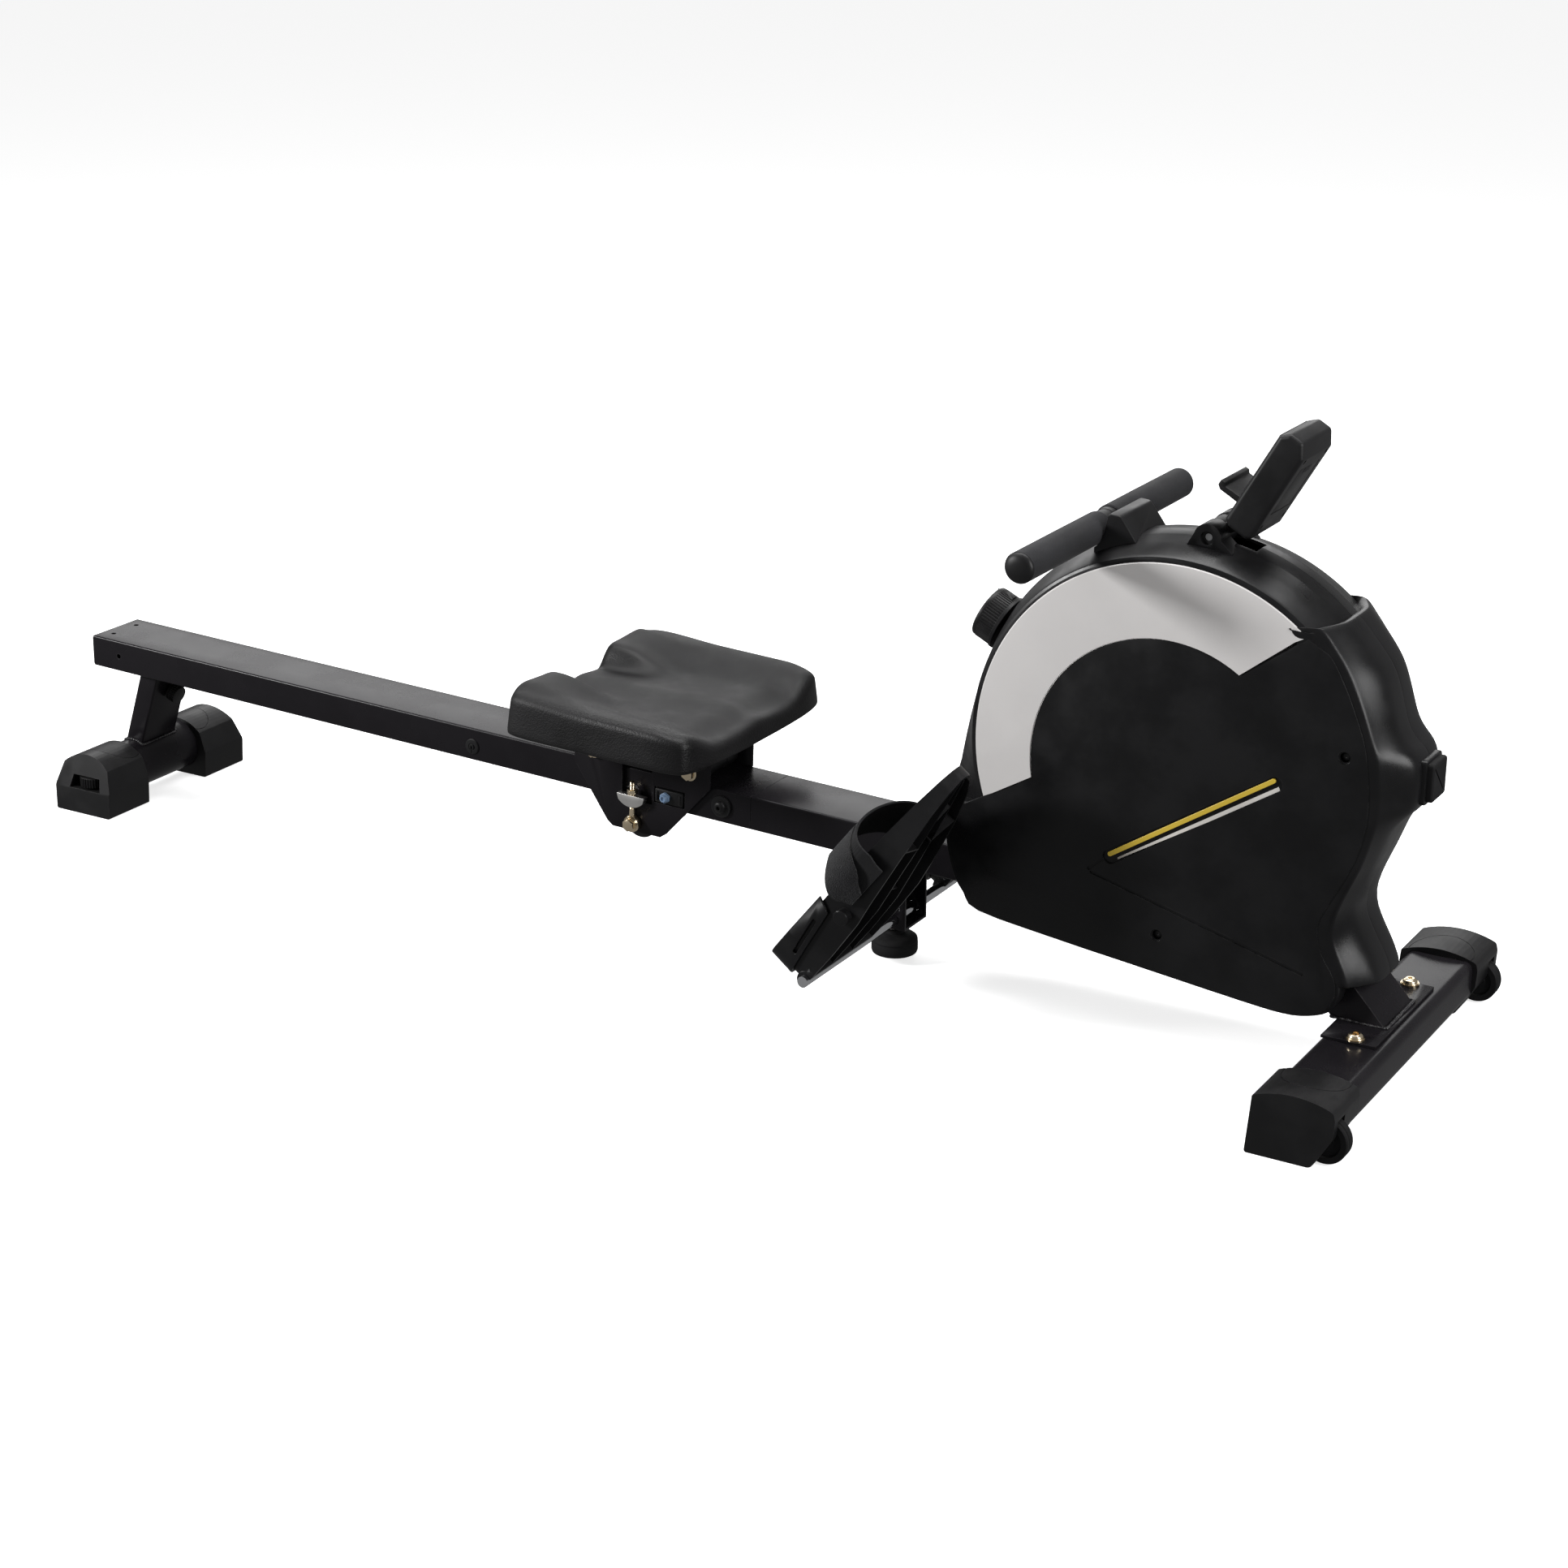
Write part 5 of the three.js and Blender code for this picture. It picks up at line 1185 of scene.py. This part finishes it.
def make_middle_support():
    from_frame("middle_bracket", "paint", "frame", 1.6)
    rod = [(0, 0), (ROD_RADIUS - 1.4, 0), (ROD_RADIUS, 1.4), (ROD_RADIUS, 2 * ROD_HALF - 1.4),
           (ROD_RADIUS - 1.4, 2 * ROD_HALF), (0, 2 * ROD_HALF)]
    bm = shape_of(turned, rod, (ROD_X, -ROD_HALF, ROD_Z), (0, 1, 0), 48)
    finish(bm, "pedal_rod_finished", "chrome", "frame", ("pedal_rod",))

    pad = [(0, 8), (21.5, 8), (24, 9), (25, 11.5), (25, 20), (24.2, 21.2), (24.2, 21.8), (24.8, 22.6),
           (24.2, 25),
           (21, 27.4), (17, 28.6), (10.5, 30.5), (9.8, 33), (9, 34.2), (0, 34.2)]
    bm = shape_of(turned, pad, (FOOT_X, 0, 0), (0, 0, 1), 64)
    finish(bm, "leveling_foot_pad", "rubber", "middle_foot", ("leveling_foot",))
    bm = shape_of(hexagon, (FOOT_X, 0, 35.4), (0, 0, 1), 16.5, 8.0, 0.9)
    profile = [(0, 0)]
    for i in range(26):
        profile += [(4.9, i * 2 + 0.4), (4.35, i * 2 + 1.4)]
    turned(bm, [*profile, (0, 53)], (FOOT_X, 0, 34), (0, 0, 1), 24)
    finish(bm, "leveling_foot_stud", "bright", "middle_foot")


# ---------------------------------------------------------------- pedals, heel cups and foot straps
# Heel, toe and sole in the pedal's own frame, and the height of the strap's arch over the foot.
HEEL, TOE, SOLE, STRAP_RISE = -8, 268, 41, 40
PEDAL_BODIES = ("right_pedal", "left_pedal")
STRAP_X = 140


def pedal_outline(grow=0.0):
    """Plan of the sole: x from heel to toe, y across the machine, centred on the pedal."""
    right = [(HEEL, 61), (30, 65), (125, 65), (185, 56), (232, 39), (256, 23), (TOE, 7)]
    side = [(u + (grow if u > 250 else 0) - (grow if u < 0 else 0), w + grow) for u, w in right]
    whole = side + [(u, -w) for u, w in reversed(side)]
    return [(u, w - PEDAL_Y) for u, w in rounded(whole, 16, 5)]


def make_pedals():
    def silhouette(grow=0.0):
        """Side view of the pedal shell, shallow at the toe and deep at the ankle."""
        points = [
            (HEEL - 4, -3.5, 1), (45, -3.5, 30), (95, -1, 60), (190, 14, 60), (TOE + 4, 29, 2),
            (TOE + 4, SOLE, 1), (HEEL - 4, SOLE, 1),
        ]
        return shape_of(extruded, inset(rounded(points, 4, 6), -grow), -PEDAL_Y - 90, -PEDAL_Y + 90)

    def shell():
        body = carved(
            shape_of(extruded, pedal_outline(), -30, SOLE, along="z"), silhouette(), operation="INTERSECT"
        )
        room = shape_of(extruded, pedal_outline(-3), -40, SOLE - 4, along="z")
        body = carved(body, room)
        ribs = []
        for share, toe_share in ((-0.34, -0.9), (0.34, 0.9)):
            path = [
                (4, 60 * share), (70, 62 * share), (150, 50 * share), (215, 30 * share),
                (TOE - 8, 4 * toe_share)
            ]
            near = [(u, w - PEDAL_Y - 0.9) for u, w in path]
            far = [(u, w - PEDAL_Y + 0.9) for u, w in reversed(path)]
            ribs.append(shape_of(extruded, near + far, -20, SOLE - 1, along="z"))
        for (u0, w0), (u1, w1) in (((30, -64), (60, -20)), ((60, 20), (30, 64)), ((120, -18), (104, 18)),
                                   ((190, -60), (176, -12)), ((176, 12), (190, 60)), ((212, -8), (224, 8))):
            near = [
                (u0 - 0.8, w0 - PEDAL_Y), (u1 - 0.8, w1 - PEDAL_Y), (u1 + 0.8, w1 - PEDAL_Y),
                (u0 + 0.8, w0 - PEDAL_Y)
            ]
            ribs.append(shape_of(extruded, near, 6, SOLE - 1, along="z"))
        for rib in ribs:
            kept = carved(
                rib, silhouette(-0.8), shape_of(extruded, pedal_outline(-1), -40, 60, along="z"),
                operation="INTERSECT"
            )
            body = carved(body, kept, operation="UNION")
        boss = carved(
            shape_of(bar, 0, 0, -PEDAL_Y - 63, -PEDAL_Y + 63, 10, 0.8, 40), silhouette(),
            operation="INTERSECT"
        )
        peg = shape_of(turned, rounded_rod(8.2, 15, 1.2), (93, -PEDAL_Y - 60, 15), (0, -1, 0), 14)
        body = carved(body, boss, peg, operation="UNION")
        bore = shape_of(bar, 0, 0, -PEDAL_Y - 90, -PEDAL_Y + 90, ROD_RADIUS + 0.3, 0.1, 40)
        grooves = [
            shape_of(block, 20 + i * 11, 23 + i * 11, -PEDAL_Y - 46 + max(0, i - 12) * 5,
            -PEDAL_Y + 46 - max(0, i - 12) * 5,
                     SOLE - 1.2, SOLE + 5)
            for i in range(20)
        ]
        return carved(body, bore, *grooves)

    both_sides(
        shell, "pedal_shell", "shell", PEDAL_BODIES, "pedal", place=PEDAL, soften=0.7,
    )

    def heel_cup():
        outer = shape_of(extruded, pedal_outline(3.4), 0, SOLE + 5, along="z", edge=1.0)
        inner = shape_of(extruded, pedal_outline(0.4), -10, SOLE + 20, along="z")
        lower = shape_of(extruded, [(-40, -20), (-40, 12), (98, 30), (98, -20)], -PEDAL_Y - 90, -PEDAL_Y + 90)
        ahead = shape_of(extruded, [(62, -20), (98, 70), (400, 70), (400, -20)], -PEDAL_Y - 90, -PEDAL_Y + 90)
        slot = slanted_slot((18, 27), (62, 33), 2.2, -PEDAL_Y - 90, -PEDAL_Y + 90)
        return carved(outer, inner, lower, ahead, slot)

    both_sides(
        heel_cup, "heel_cup_finished", "shell", PEDAL_BODIES, "heel_cup", place=PEDAL, soften=0.8,
    )

    def strap():
        """Webbing loop over the instep."""
        bm = bmesh.new()
        steps = 36
        loop = []
        for i in range(steps + 1):
            angle = math.pi * i / steps
            x = STRAP_X + 2 - 8 * math.sin(angle)
            loop.append((x, -PEDAL_Y - 68.5 * math.cos(angle), SOLE - 6 + STRAP_RISE * math.sin(angle) ** 0.8))
        near, far = loop[0][1], loop[-1][1]
        path = [(STRAP_X, near, 16), (STRAP_X, near, 26), *loop, (STRAP_X, far, 26), (STRAP_X, far, 16)]
        return ribbon(bm, path, (1, 0, 0), 50, 2.4)

    both_sides(
        strap, "foot_strap_band", "webbing", PEDAL_BODIES, "foot_strap", place=PEDAL, angle=50,
    )

    def tab():
        """Fuzzy fastener patch folded back over the outside of the loop."""
        bm = bmesh.new()
        rows = []
        steps = 22
        for i in range(steps + 1):
            t = i / steps
            angle = math.radians(58 * (1 - t))
            out = 72.5 + 5 * math.sin(t * math.pi * 0.9)
            y = -PEDAL_Y - out * math.cos(angle)
            z = SOLE - 6 + (STRAP_RISE + 2) * math.sin(angle) ** 0.8 if t < 1 else SOLE - 12
            half = 23 * math.sqrt(max(0.02, 1 - (max(0, t - 0.72) / 0.3) ** 2))
            centre = 135 - 12 * t
            wave = 1.2 * math.sin(t * 7)
            rows.append([
                (centre - half, y - 1.5 + wave * 0.4, z - t * 14), (centre, y - 2.6, z - t * 14),
                (centre + half, y - 1.5 - wave * 0.4, z - t * 14), (centre + half, y + 0.9, z - t * 14),
                (centre, y - 0.2, z - t * 14), (centre - half, y + 0.9, z - t * 14),
            ])
        return bridged(bm, rows, closed=True, capped=True)

    both_sides(
        tab, "foot_strap_tab", "fleece", PEDAL_BODIES, place=PEDAL, angle=60,
    )


# ---------------------------------------------------------------- seat and carriage
SEAT_REAR, SEAT_FRONT, SEAT_HALF, SEAT_BOTTOM = 682, 923, 147, 49.3


def seat_height(u, v):
    """Height of the sitting face above the pad's underside; u runs rear to front, v right to left."""
    side = smoothstep(0.55, 0.97, abs(v))
    rear = smoothstep(-0.10, -0.92, u)
    front = smoothstep(0.66, 0.97, u)
    floor = 29.5 + 2.2 * math.exp(-(v / 0.12) ** 2) - 2.0 * math.exp(-((abs(v) - 0.42) / 0.25) ** 2)
    rim = side * (14.0 - 1.5 * u) * (1 - 0.85 * rear)
    lobes = rear * 18 * smoothstep(0.26, 0.44, abs(v)) * (1 - 0.35 * smoothstep(0.80, 1.0, abs(v)))
    channel = -6 * rear * (1 - smoothstep(0.26, 0.44, abs(v)))
    lip = -7.5 * front * (1 - 0.6 * side)
    return floor + rim + lobes + channel + rear * 4 + lip


def make_seat(sizes):
    """A moulded pad: dished top, rolled rim, drafted sides and a flat underside."""
    roll, draft, cells = sizes.rim_radius / MM, 3.0, 44
    mid, reach = (SEAT_REAR + SEAT_FRONT) / 2, (SEAT_FRONT - SEAT_REAR) / 2
    bm = bmesh.new()
    bmesh.ops.create_grid(bm, x_segments=cells, y_segments=cells, size=1)
    spots = {vert: (vert.co.x, vert.co.y) for vert in bm.verts}

    def plan(u, v, out):
        pull = 1 - 0.06 * abs(u) ** 8 * abs(v) ** 6
        bow = 4 * (1 - v * v) * smoothstep(0, 1, u)
        half_u, half_v = reach - roll - draft + out, SEAT_HALF - roll - draft + out
        return mid + half_u * u * pull + bow - 3, half_v * v * pull

    for vert, (u, v) in spots.items():
        x, y = plan(u, v, 0)
        vert.co = (x, y, SEAT_BOTTOM + seat_height(u, v))
    rim = [e for e in bm.edges if e.is_boundary]
    rim_heights = {}
    profile = [(roll * math.sin(t), roll * (1 - math.cos(t))) for t in quarter(5)[1:]]
    for out, down in profile:
        rim, spots = roll_rim(bm, rim, spots, rim_heights, plan, out, lambda top, d=down: top - d)
    for share in (0.35, 0.7, 0.93):
        out = roll + draft * share
        rim, spots = roll_rim(
            bm, rim, spots, rim_heights, plan, out, lambda top,
            s=share: (top - roll) * (1 - s) + SEAT_BOTTOM * s,
        )
    for out, z in ((roll + draft - 1.0, SEAT_BOTTOM + 0.5), (roll + draft - 5, SEAT_BOTTOM)):
        rim, spots = roll_rim(bm, rim, spots, rim_heights, plan, out, lambda top, height=z: height)
    base = bmesh.ops.contextual_create(bm, geom=rim)["faces"]
    bmesh.ops.inset_region(bm, faces=base, thickness=14, depth=0)
    seat = finish(bm, "seat_pad", "seat", "carriage", ("seat_cushion",), RAIL, levels=1)


def roll_rim(bm, rim, spots, heights, plan, out, height_at):
    """Carries the pad's open edge one step further round its side."""
    grown = bmesh.ops.extrude_edge_only(bm, edges=rim)["geom"]
    new_edges = [g for g in grown if isinstance(g, bmesh.types.BMEdge) and g.is_boundary]
    new_verts = [g for g in grown if isinstance(g, bmesh.types.BMVert)]
    places = {}
    for vert in new_verts:
        source = next(e.other_vert(vert) for e in vert.link_edges if e.other_vert(vert) in spots)
        spot = spots[source]
        heights.setdefault(spot, source.co.z)
        x, y = plan(*spot, out)
        vert.co = (x, y, height_at(heights[spot]))
        places[vert] = spot
    return new_edges, places


ROLLER_Z, LOWER_ROLLER = 12.8, (790.5, -60.3)


def make_carriage():
    from_frame("seat_bracket", "paint", "carriage", 0.9)
    for name, x, body in (("rear", 737, "rear_roller"), ("front", 861, "front_roller")):
        wheel = [(4.2, 0), (11.6, 0), (12.4, 0.8), (12.4, 22), (11.8, 22.6), (11.8, 45.4), (12.4, 46),
                 (12.4, 67.2),
                 (11.6, 68), (4.2, 68), (4.2, 0)]
        bm = shape_of(turned, wheel, (x, -34, ROLLER_Z), (0, 1, 0), 48)
        finish(bm, f"upper_roller_{name}_wheel", "plastic", body, (f"upper_roller_{name}",), RAIL)
        bolt = shape_of(bar, x, ROLLER_Z, -49, 49, 4, 0.6, 24)
        for side in (-1, 1):
            turned(
                bolt, [(0, 0), (9, 0), (9, 1), (8.4, 1.4), (0, 1.4)], (x, side * 45.6, ROLLER_Z),
                (0, side, 0), 32
            )
            hexagon(bolt, (x, side * 47, ROLLER_Z), (0, side, 0), 13, 5.5)
        finish(bolt, f"upper_axle_bolt_{name}", "zinc", "carriage", (), RAIL)

    x, z = LOWER_ROLLER
    wheel = [(4.2, 0), (20.8, 0), (22, 1.2), (22, 66.8), (20.8, 68), (4.2, 68), (4.2, 0)]
    finish(shape_of(
        turned, wheel, (x, -34, z), (0, 1, 0), 56
    ), "lower_roller_wheel", "plastic", "under_roller",
           ("lower_roller",), RAIL)
    bolt = shape_of(bar, x, z, -57, 57, 4, 0.6, 24)
    for side in (-1, 1):
        turned(bolt, [(0, 0), (8.2, 0), (8.4, 0.6), (8, 1.2), (0, 1.2)], (x, side * 54, z), (0, side, 0), 32)
        hexagon(bolt, (x, side * 55, z), (0, side, 0), 12.5, 5)
    finish(bolt, "lower_axle_bolt", "zinc", "carriage", ("lower_roller_axle",), RAIL)

    def eyebolt():
        bm = bmesh.new()
        eye = [
            (4.6, 0.4), (5, 0), (8.8, 0), (9.6, 1), (9.6, 6.6), (8.8, 7.6), (5, 7.6), (4.6, 7.2), (4.6, 0.4)
        ]
        turned(bm, eye, (x, -46.2, z), (0, -1, 0), 32)
        profile = [(0, 0), (3.4, 0), (3.2, 6), (3, 8)]
        for i in range(18):
            profile += [(3.0, 8.6 + i * 1.8), (2.6, 9.5 + i * 1.8)]
        turned(bm, [*profile, (0, 42)], (x, -50, z + 8.5), (0, 0, 1), 20)
        return hexagon(bm, (x, -50, -25.4), (0, 0, 1), 10.5, 5.2)

    both_sides(eyebolt, "tension_eyebolt_finished", "zinc", "carriage", "tension_eyebolt", place=RAIL)

    def saddle():
        moon = [*arc(x, -19, 21.5, 222, 318, 14), (x + 18, -26.4), (x - 18, -26.4)]
        return shape_of(extruded, rounded(moon, 0.8, 2), -54.5, -46.2, edge=0.7)

    both_sides(saddle, "tension_saddle", "bright", "carriage", place=RAIL)

    def guide():
        bm = shape_of(block, 817.5, 853.5, -47.2, -40.4, -29.5, -13.5, 1.6)
        for edge in (820, 849):
            block(bm, edge, edge + 2, -48.4, -46.6, -27, -16, 0.5)
        return bm

    both_sides(guide, "side_guide_block", "plastic", "carriage", "side_guide", place=RAIL)

    def nut():
        bm = shape_of(hexagon, (832, -47, -21.5), (0, -1, 0), 11, 4.2, 1.0)
        return turned(
            bm, [(0, 0), (4.6, 0), (4.4, 2), (3.6, 3), (2.2, 3), (1.9, 1.6), (0, 1.6)], (832, -51, -21.5),
            (0, -1, 0), 24
        )

    both_sides(nut, "side_guide_nut", "nylon", "carriage", place=RAIL)


# ---------------------------------------------------------------- inner drive
INNER_LOOKS = {
    "inner_frame": "paint", "flywheel": "steel", "flywheel_axle": "steel", "strap_reel": "plastic",
    "drive_belt": "rubber", "magnet_arm": "steel", "console_hinge_pin": "steel", "console_display": "display",
}


def dress_inner_parts():
    for name, look in INNER_LOOKS.items():
        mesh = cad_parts[name].data
        mesh.materials.clear()
        mesh.materials.append(bpy.data.materials[LOOKS[look][1]])


# ---------------------------------------------------------------- studio
def make_studio(settings):
    scene = bpy.context.scene
    scene.view_settings.view_transform = "Standard"
    floor_mesh = bpy.data.meshes.new("floor")
    bm = bmesh.new()
    bmesh.ops.create_grid(bm, x_segments=1, y_segments=1, size=40)
    bm.to_mesh(floor_mesh)
    bm.free()
    floor = bpy.data.objects.new("floor", floor_mesh)
    scene.collection.objects.link(floor)
    material = bpy.data.materials.new("pale studio floor")
    material.use_nodes = True
    shader = material.node_tree.nodes["Principled BSDF"]
    shader.inputs["Base Color"].default_value = (*settings.floor_colour, 1)
    shader.inputs["Roughness"].default_value = 0.9
    shader.inputs["Specular IOR Level"].default_value = 0.1
    shader.inputs["Emission Color"].default_value = (1, 1, 1, 1)
    shader.inputs["Emission Strength"].default_value = settings.floor_glow
    floor_mesh.materials.append(material)
    floor.visible_glossy = floor.visible_diffuse = False

    world = bpy.data.worlds.new("studio")
    world.use_nodes = True
    world.node_tree.nodes["Background"].inputs[0].default_value = (1, 1, 1, 1)
    world.node_tree.nodes["Background"].inputs[1].default_value = settings.ambient
    scene.world = world

    aim = Vector((0, 0, 0.25))
    softboxes = (
        ("overhead softbox", (-0.1, 0.3, 2.8), 3.4, 1.1, settings.overhead),
        ("back softbox", (-1.7, 3.4, 1.9), 4.0, 1.5, settings.back),
        ("key softbox", (-2.7, -2.3, 1.7), 0.8, 0.8, settings.key),
        ("nose softbox", (3.0, -0.5, 1.3), 1.0, 1.6, settings.fill),
    )
    for name, place, wide, deep, power in softboxes:
        light = bpy.data.lights.new(name, "AREA")
        light.shape, light.size, light.size_y, light.energy = "RECTANGLE", wide, deep, power
        lamp = bpy.data.objects.new(name, light)
        lamp.location = place
        lamp.rotation_euler = (aim - Vector(place)).to_track_quat("-Z", "Y").to_euler()
        scene.collection.objects.link(lamp)

    camera = bpy.data.cameras.new("camera")
    camera.lens, camera.sensor_width, camera.sensor_fit = settings.lens, 36, "HORIZONTAL"
    camera.clip_end = 200
    view = bpy.data.objects.new("camera", camera)
    view.location = (ORIGIN_X + 2518.553 * MM, -2623.168 * MM, 1300.171 * MM)
    view.rotation_euler = (math.radians(90 - settings.pitch), 0, math.radians(settings.yaw))
    scene.collection.objects.link(view)
    scene.camera = view


# ---------------------------------------------------------------- add-on
def colour(name, description, default):
    return bpy.props.FloatVectorProperty(
        name=name, description=description, subtype="COLOR", size=3, min=0, max=1, default=default,
    )


def amount(name, description, default):
    return bpy.props.FloatProperty(name=name, description=description, default=default, min=0)


class RowerTones(bpy.types.PropertyGroup):
    """Colours of the machine's finishes"""
    paint: colour("Paint", "Satin paint on the rail, legs and brackets", (0.0105, 0.0095, 0.0112))
    black: colour("Plastic", "Moulded covers, feet and pedals", (0.0075, 0.0074, 0.0080))
    seat: colour("Seat", "Self-skinned foam of the seat", (0.0045, 0.0042, 0.0047))
    white: colour("Panel", "Gloss panel on the flywheel housing", (0.74, 0.72, 0.71))
    accent: colour("Accent", "Stripe on the covers", (0.70, 0.50, 0.055))


class RowerSizes(bpy.types.PropertyGroup):
    """Sizes that a maker would adjust"""
    grip_radius: bpy.props.FloatProperty(
        name="Grip radius", description="Outer radius of the foam grips", default=GRIP_RADIUS * MM,
        min=0.01, max=0.02,
        unit="LENGTH",
    )
    rim_radius: bpy.props.FloatProperty(
        name="Seat rim", description="Radius of the seat's rolled rim", default=11 * MM, min=0.004, max=0.02,
        unit="LENGTH",
    )


class RowerStudio(bpy.types.PropertyGroup):
    """Camera, lights and floor"""
    lens: bpy.props.FloatProperty(name="Lens", description="Focal length", default=69.57, unit="CAMERA")
    pitch: amount("Tilt", "Degrees that the camera looks down", 20.2633)
    yaw: amount("Turn", "Degrees that the camera is turned from the machine's side", 30.8448)
    ambient: amount("Ambient", "Brightness of the room", 0.22)
    overhead: amount("Overhead", "Power of the overhead softbox in watts", 90.0)
    back: amount("Back", "Power of the softbox behind the machine in watts", 40.0)
    key: amount("Key", "Power of the key softbox in watts", 130.0)
    fill: amount("Fill", "Power of the softbox ahead of the nose in watts", 50.0)
    floor_glow: amount("Floor glow", "Light that the floor gives off to the camera", 0.72)
    floor_colour: colour("Floor", "Studio floor", (0.86, 0.86, 0.86))


def operator(name, label, words, action):
    """An operator class that runs one maker's step and raises if the step fails."""

    def execute(self, context):
        action(context.scene)
        return {"FINISHED"}

    return type(
        f"ROWER_OT_{name}", (bpy.types.Operator,),
        {"__doc__": words, "bl_idname": f"rower.{name}", "bl_label": label,
        "bl_options": {"REGISTER", "UNDO"},
         "execute": execute},
    )


STEPS = (
    operator(
        "finishes", "Finishes", "Builds every finish and its shared effects",
        lambda s: build_finishes(s.rower_tones)
    ),
    operator("rail", "Rail", "Models the rail, front beam, stop bolt and plugs", lambda s: make_rail()),
    operator(
        "rear_leg", "Rear leg", "Models the welded rear leg and its clamp knob", lambda s: make_rear_leg()
    ),
    operator(
        "rear_feet", "Rear feet", "Models the rear foot caps and their thumbwheels",
        lambda s: make_rear_feet()
    ),
    operator(
        "stabiliser", "Front stabiliser", "Models the stabiliser tube, post and bolts",
        lambda s: make_front_stabiliser()
    ),
    operator(
        "front_feet", "Front feet", "Models the front foot caps and transport wheels",
        lambda s: make_front_feet()
    ),
    operator(
        "covers", "Covers", "Models both housing covers, their screws and stripes", lambda s: make_covers()
    ),
    operator(
        "crescents", "White panels", "Models the gloss panels on the housing", lambda s: make_crescents()
    ),
    operator("nose", "Nose cover", "Models the front nose cover and its bumper", lambda s: make_nose()),
    operator("knob", "Resistance knob", "Models the ribbed resistance knob", lambda s: make_knob()),
    operator(
        "handle", "Handle", "Models the handle, its grips and cradle", lambda s: make_handle(s.rower_sizes)
    ),
    operator("strap", "Pull strap", "Models the strap that runs to the handle", lambda s: make_pull_strap()),
    operator("console", "Console", "Models the console, its door, key and mount", lambda s: make_console()),
    operator(
        "middle", "Middle support", "Models the bracket, pedal rod and levelling foot",
        lambda s: make_middle_support()
    ),
    operator("pedals", "Pedals", "Models the pedals, heel cups and foot straps", lambda s: make_pedals()),
    operator(
        "carriage", "Carriage", "Models the seat carriage, its rollers and bolts", lambda s: make_carriage()
    ),
    operator("seat", "Seat", "Models the moulded seat pad", lambda s: make_seat(s.rower_sizes)),
    operator(
        "drive", "Inner drive", "Gives the drive parts inside the covers their finishes",
        lambda s: dress_inner_parts()
    ),
    operator(
        "studio", "Studio", "Sets up the floor, lights and camera", lambda s: make_studio(s.rower_studio)
    ),
)


class ROWER_PT_steps(bpy.types.Panel):
    """Lists the modelling steps and the values that they read"""
    bl_idname = "ROWER_PT_steps"
    bl_label = "Rowing machine"
    bl_space_type = "VIEW_3D"
    bl_region_type = "UI"
    bl_category = "Rower"

    def draw(self, context):
        for group in (context.scene.rower_tones, context.scene.rower_sizes, context.scene.rower_studio):
            for name in group.__annotations__:
                self.layout.prop(group, name)
        for step in STEPS:
            self.layout.operator(step.bl_idname)


GROUPS = (RowerTones, RowerSizes, RowerStudio)


def register():
    for cls in (*GROUPS, *STEPS, ROWER_PT_steps):
        bpy.utils.register_class(cls)
    bpy.types.Scene.rower_tones = bpy.props.PointerProperty(type=RowerTones)
    bpy.types.Scene.rower_sizes = bpy.props.PointerProperty(type=RowerSizes)
    bpy.types.Scene.rower_studio = bpy.props.PointerProperty(type=RowerStudio)


def unregister():
    del bpy.types.Scene.rower_tones, bpy.types.Scene.rower_sizes, bpy.types.Scene.rower_studio
    for cls in reversed((*GROUPS, *STEPS, ROWER_PT_steps)):
        bpy.utils.unregister_class(cls)


def main():
    register()
    for step in STEPS:
        group, name = step.bl_idname.split(".")
        getattr(getattr(bpy.ops, group), name)()


if __name__ == "__main__":
    main()
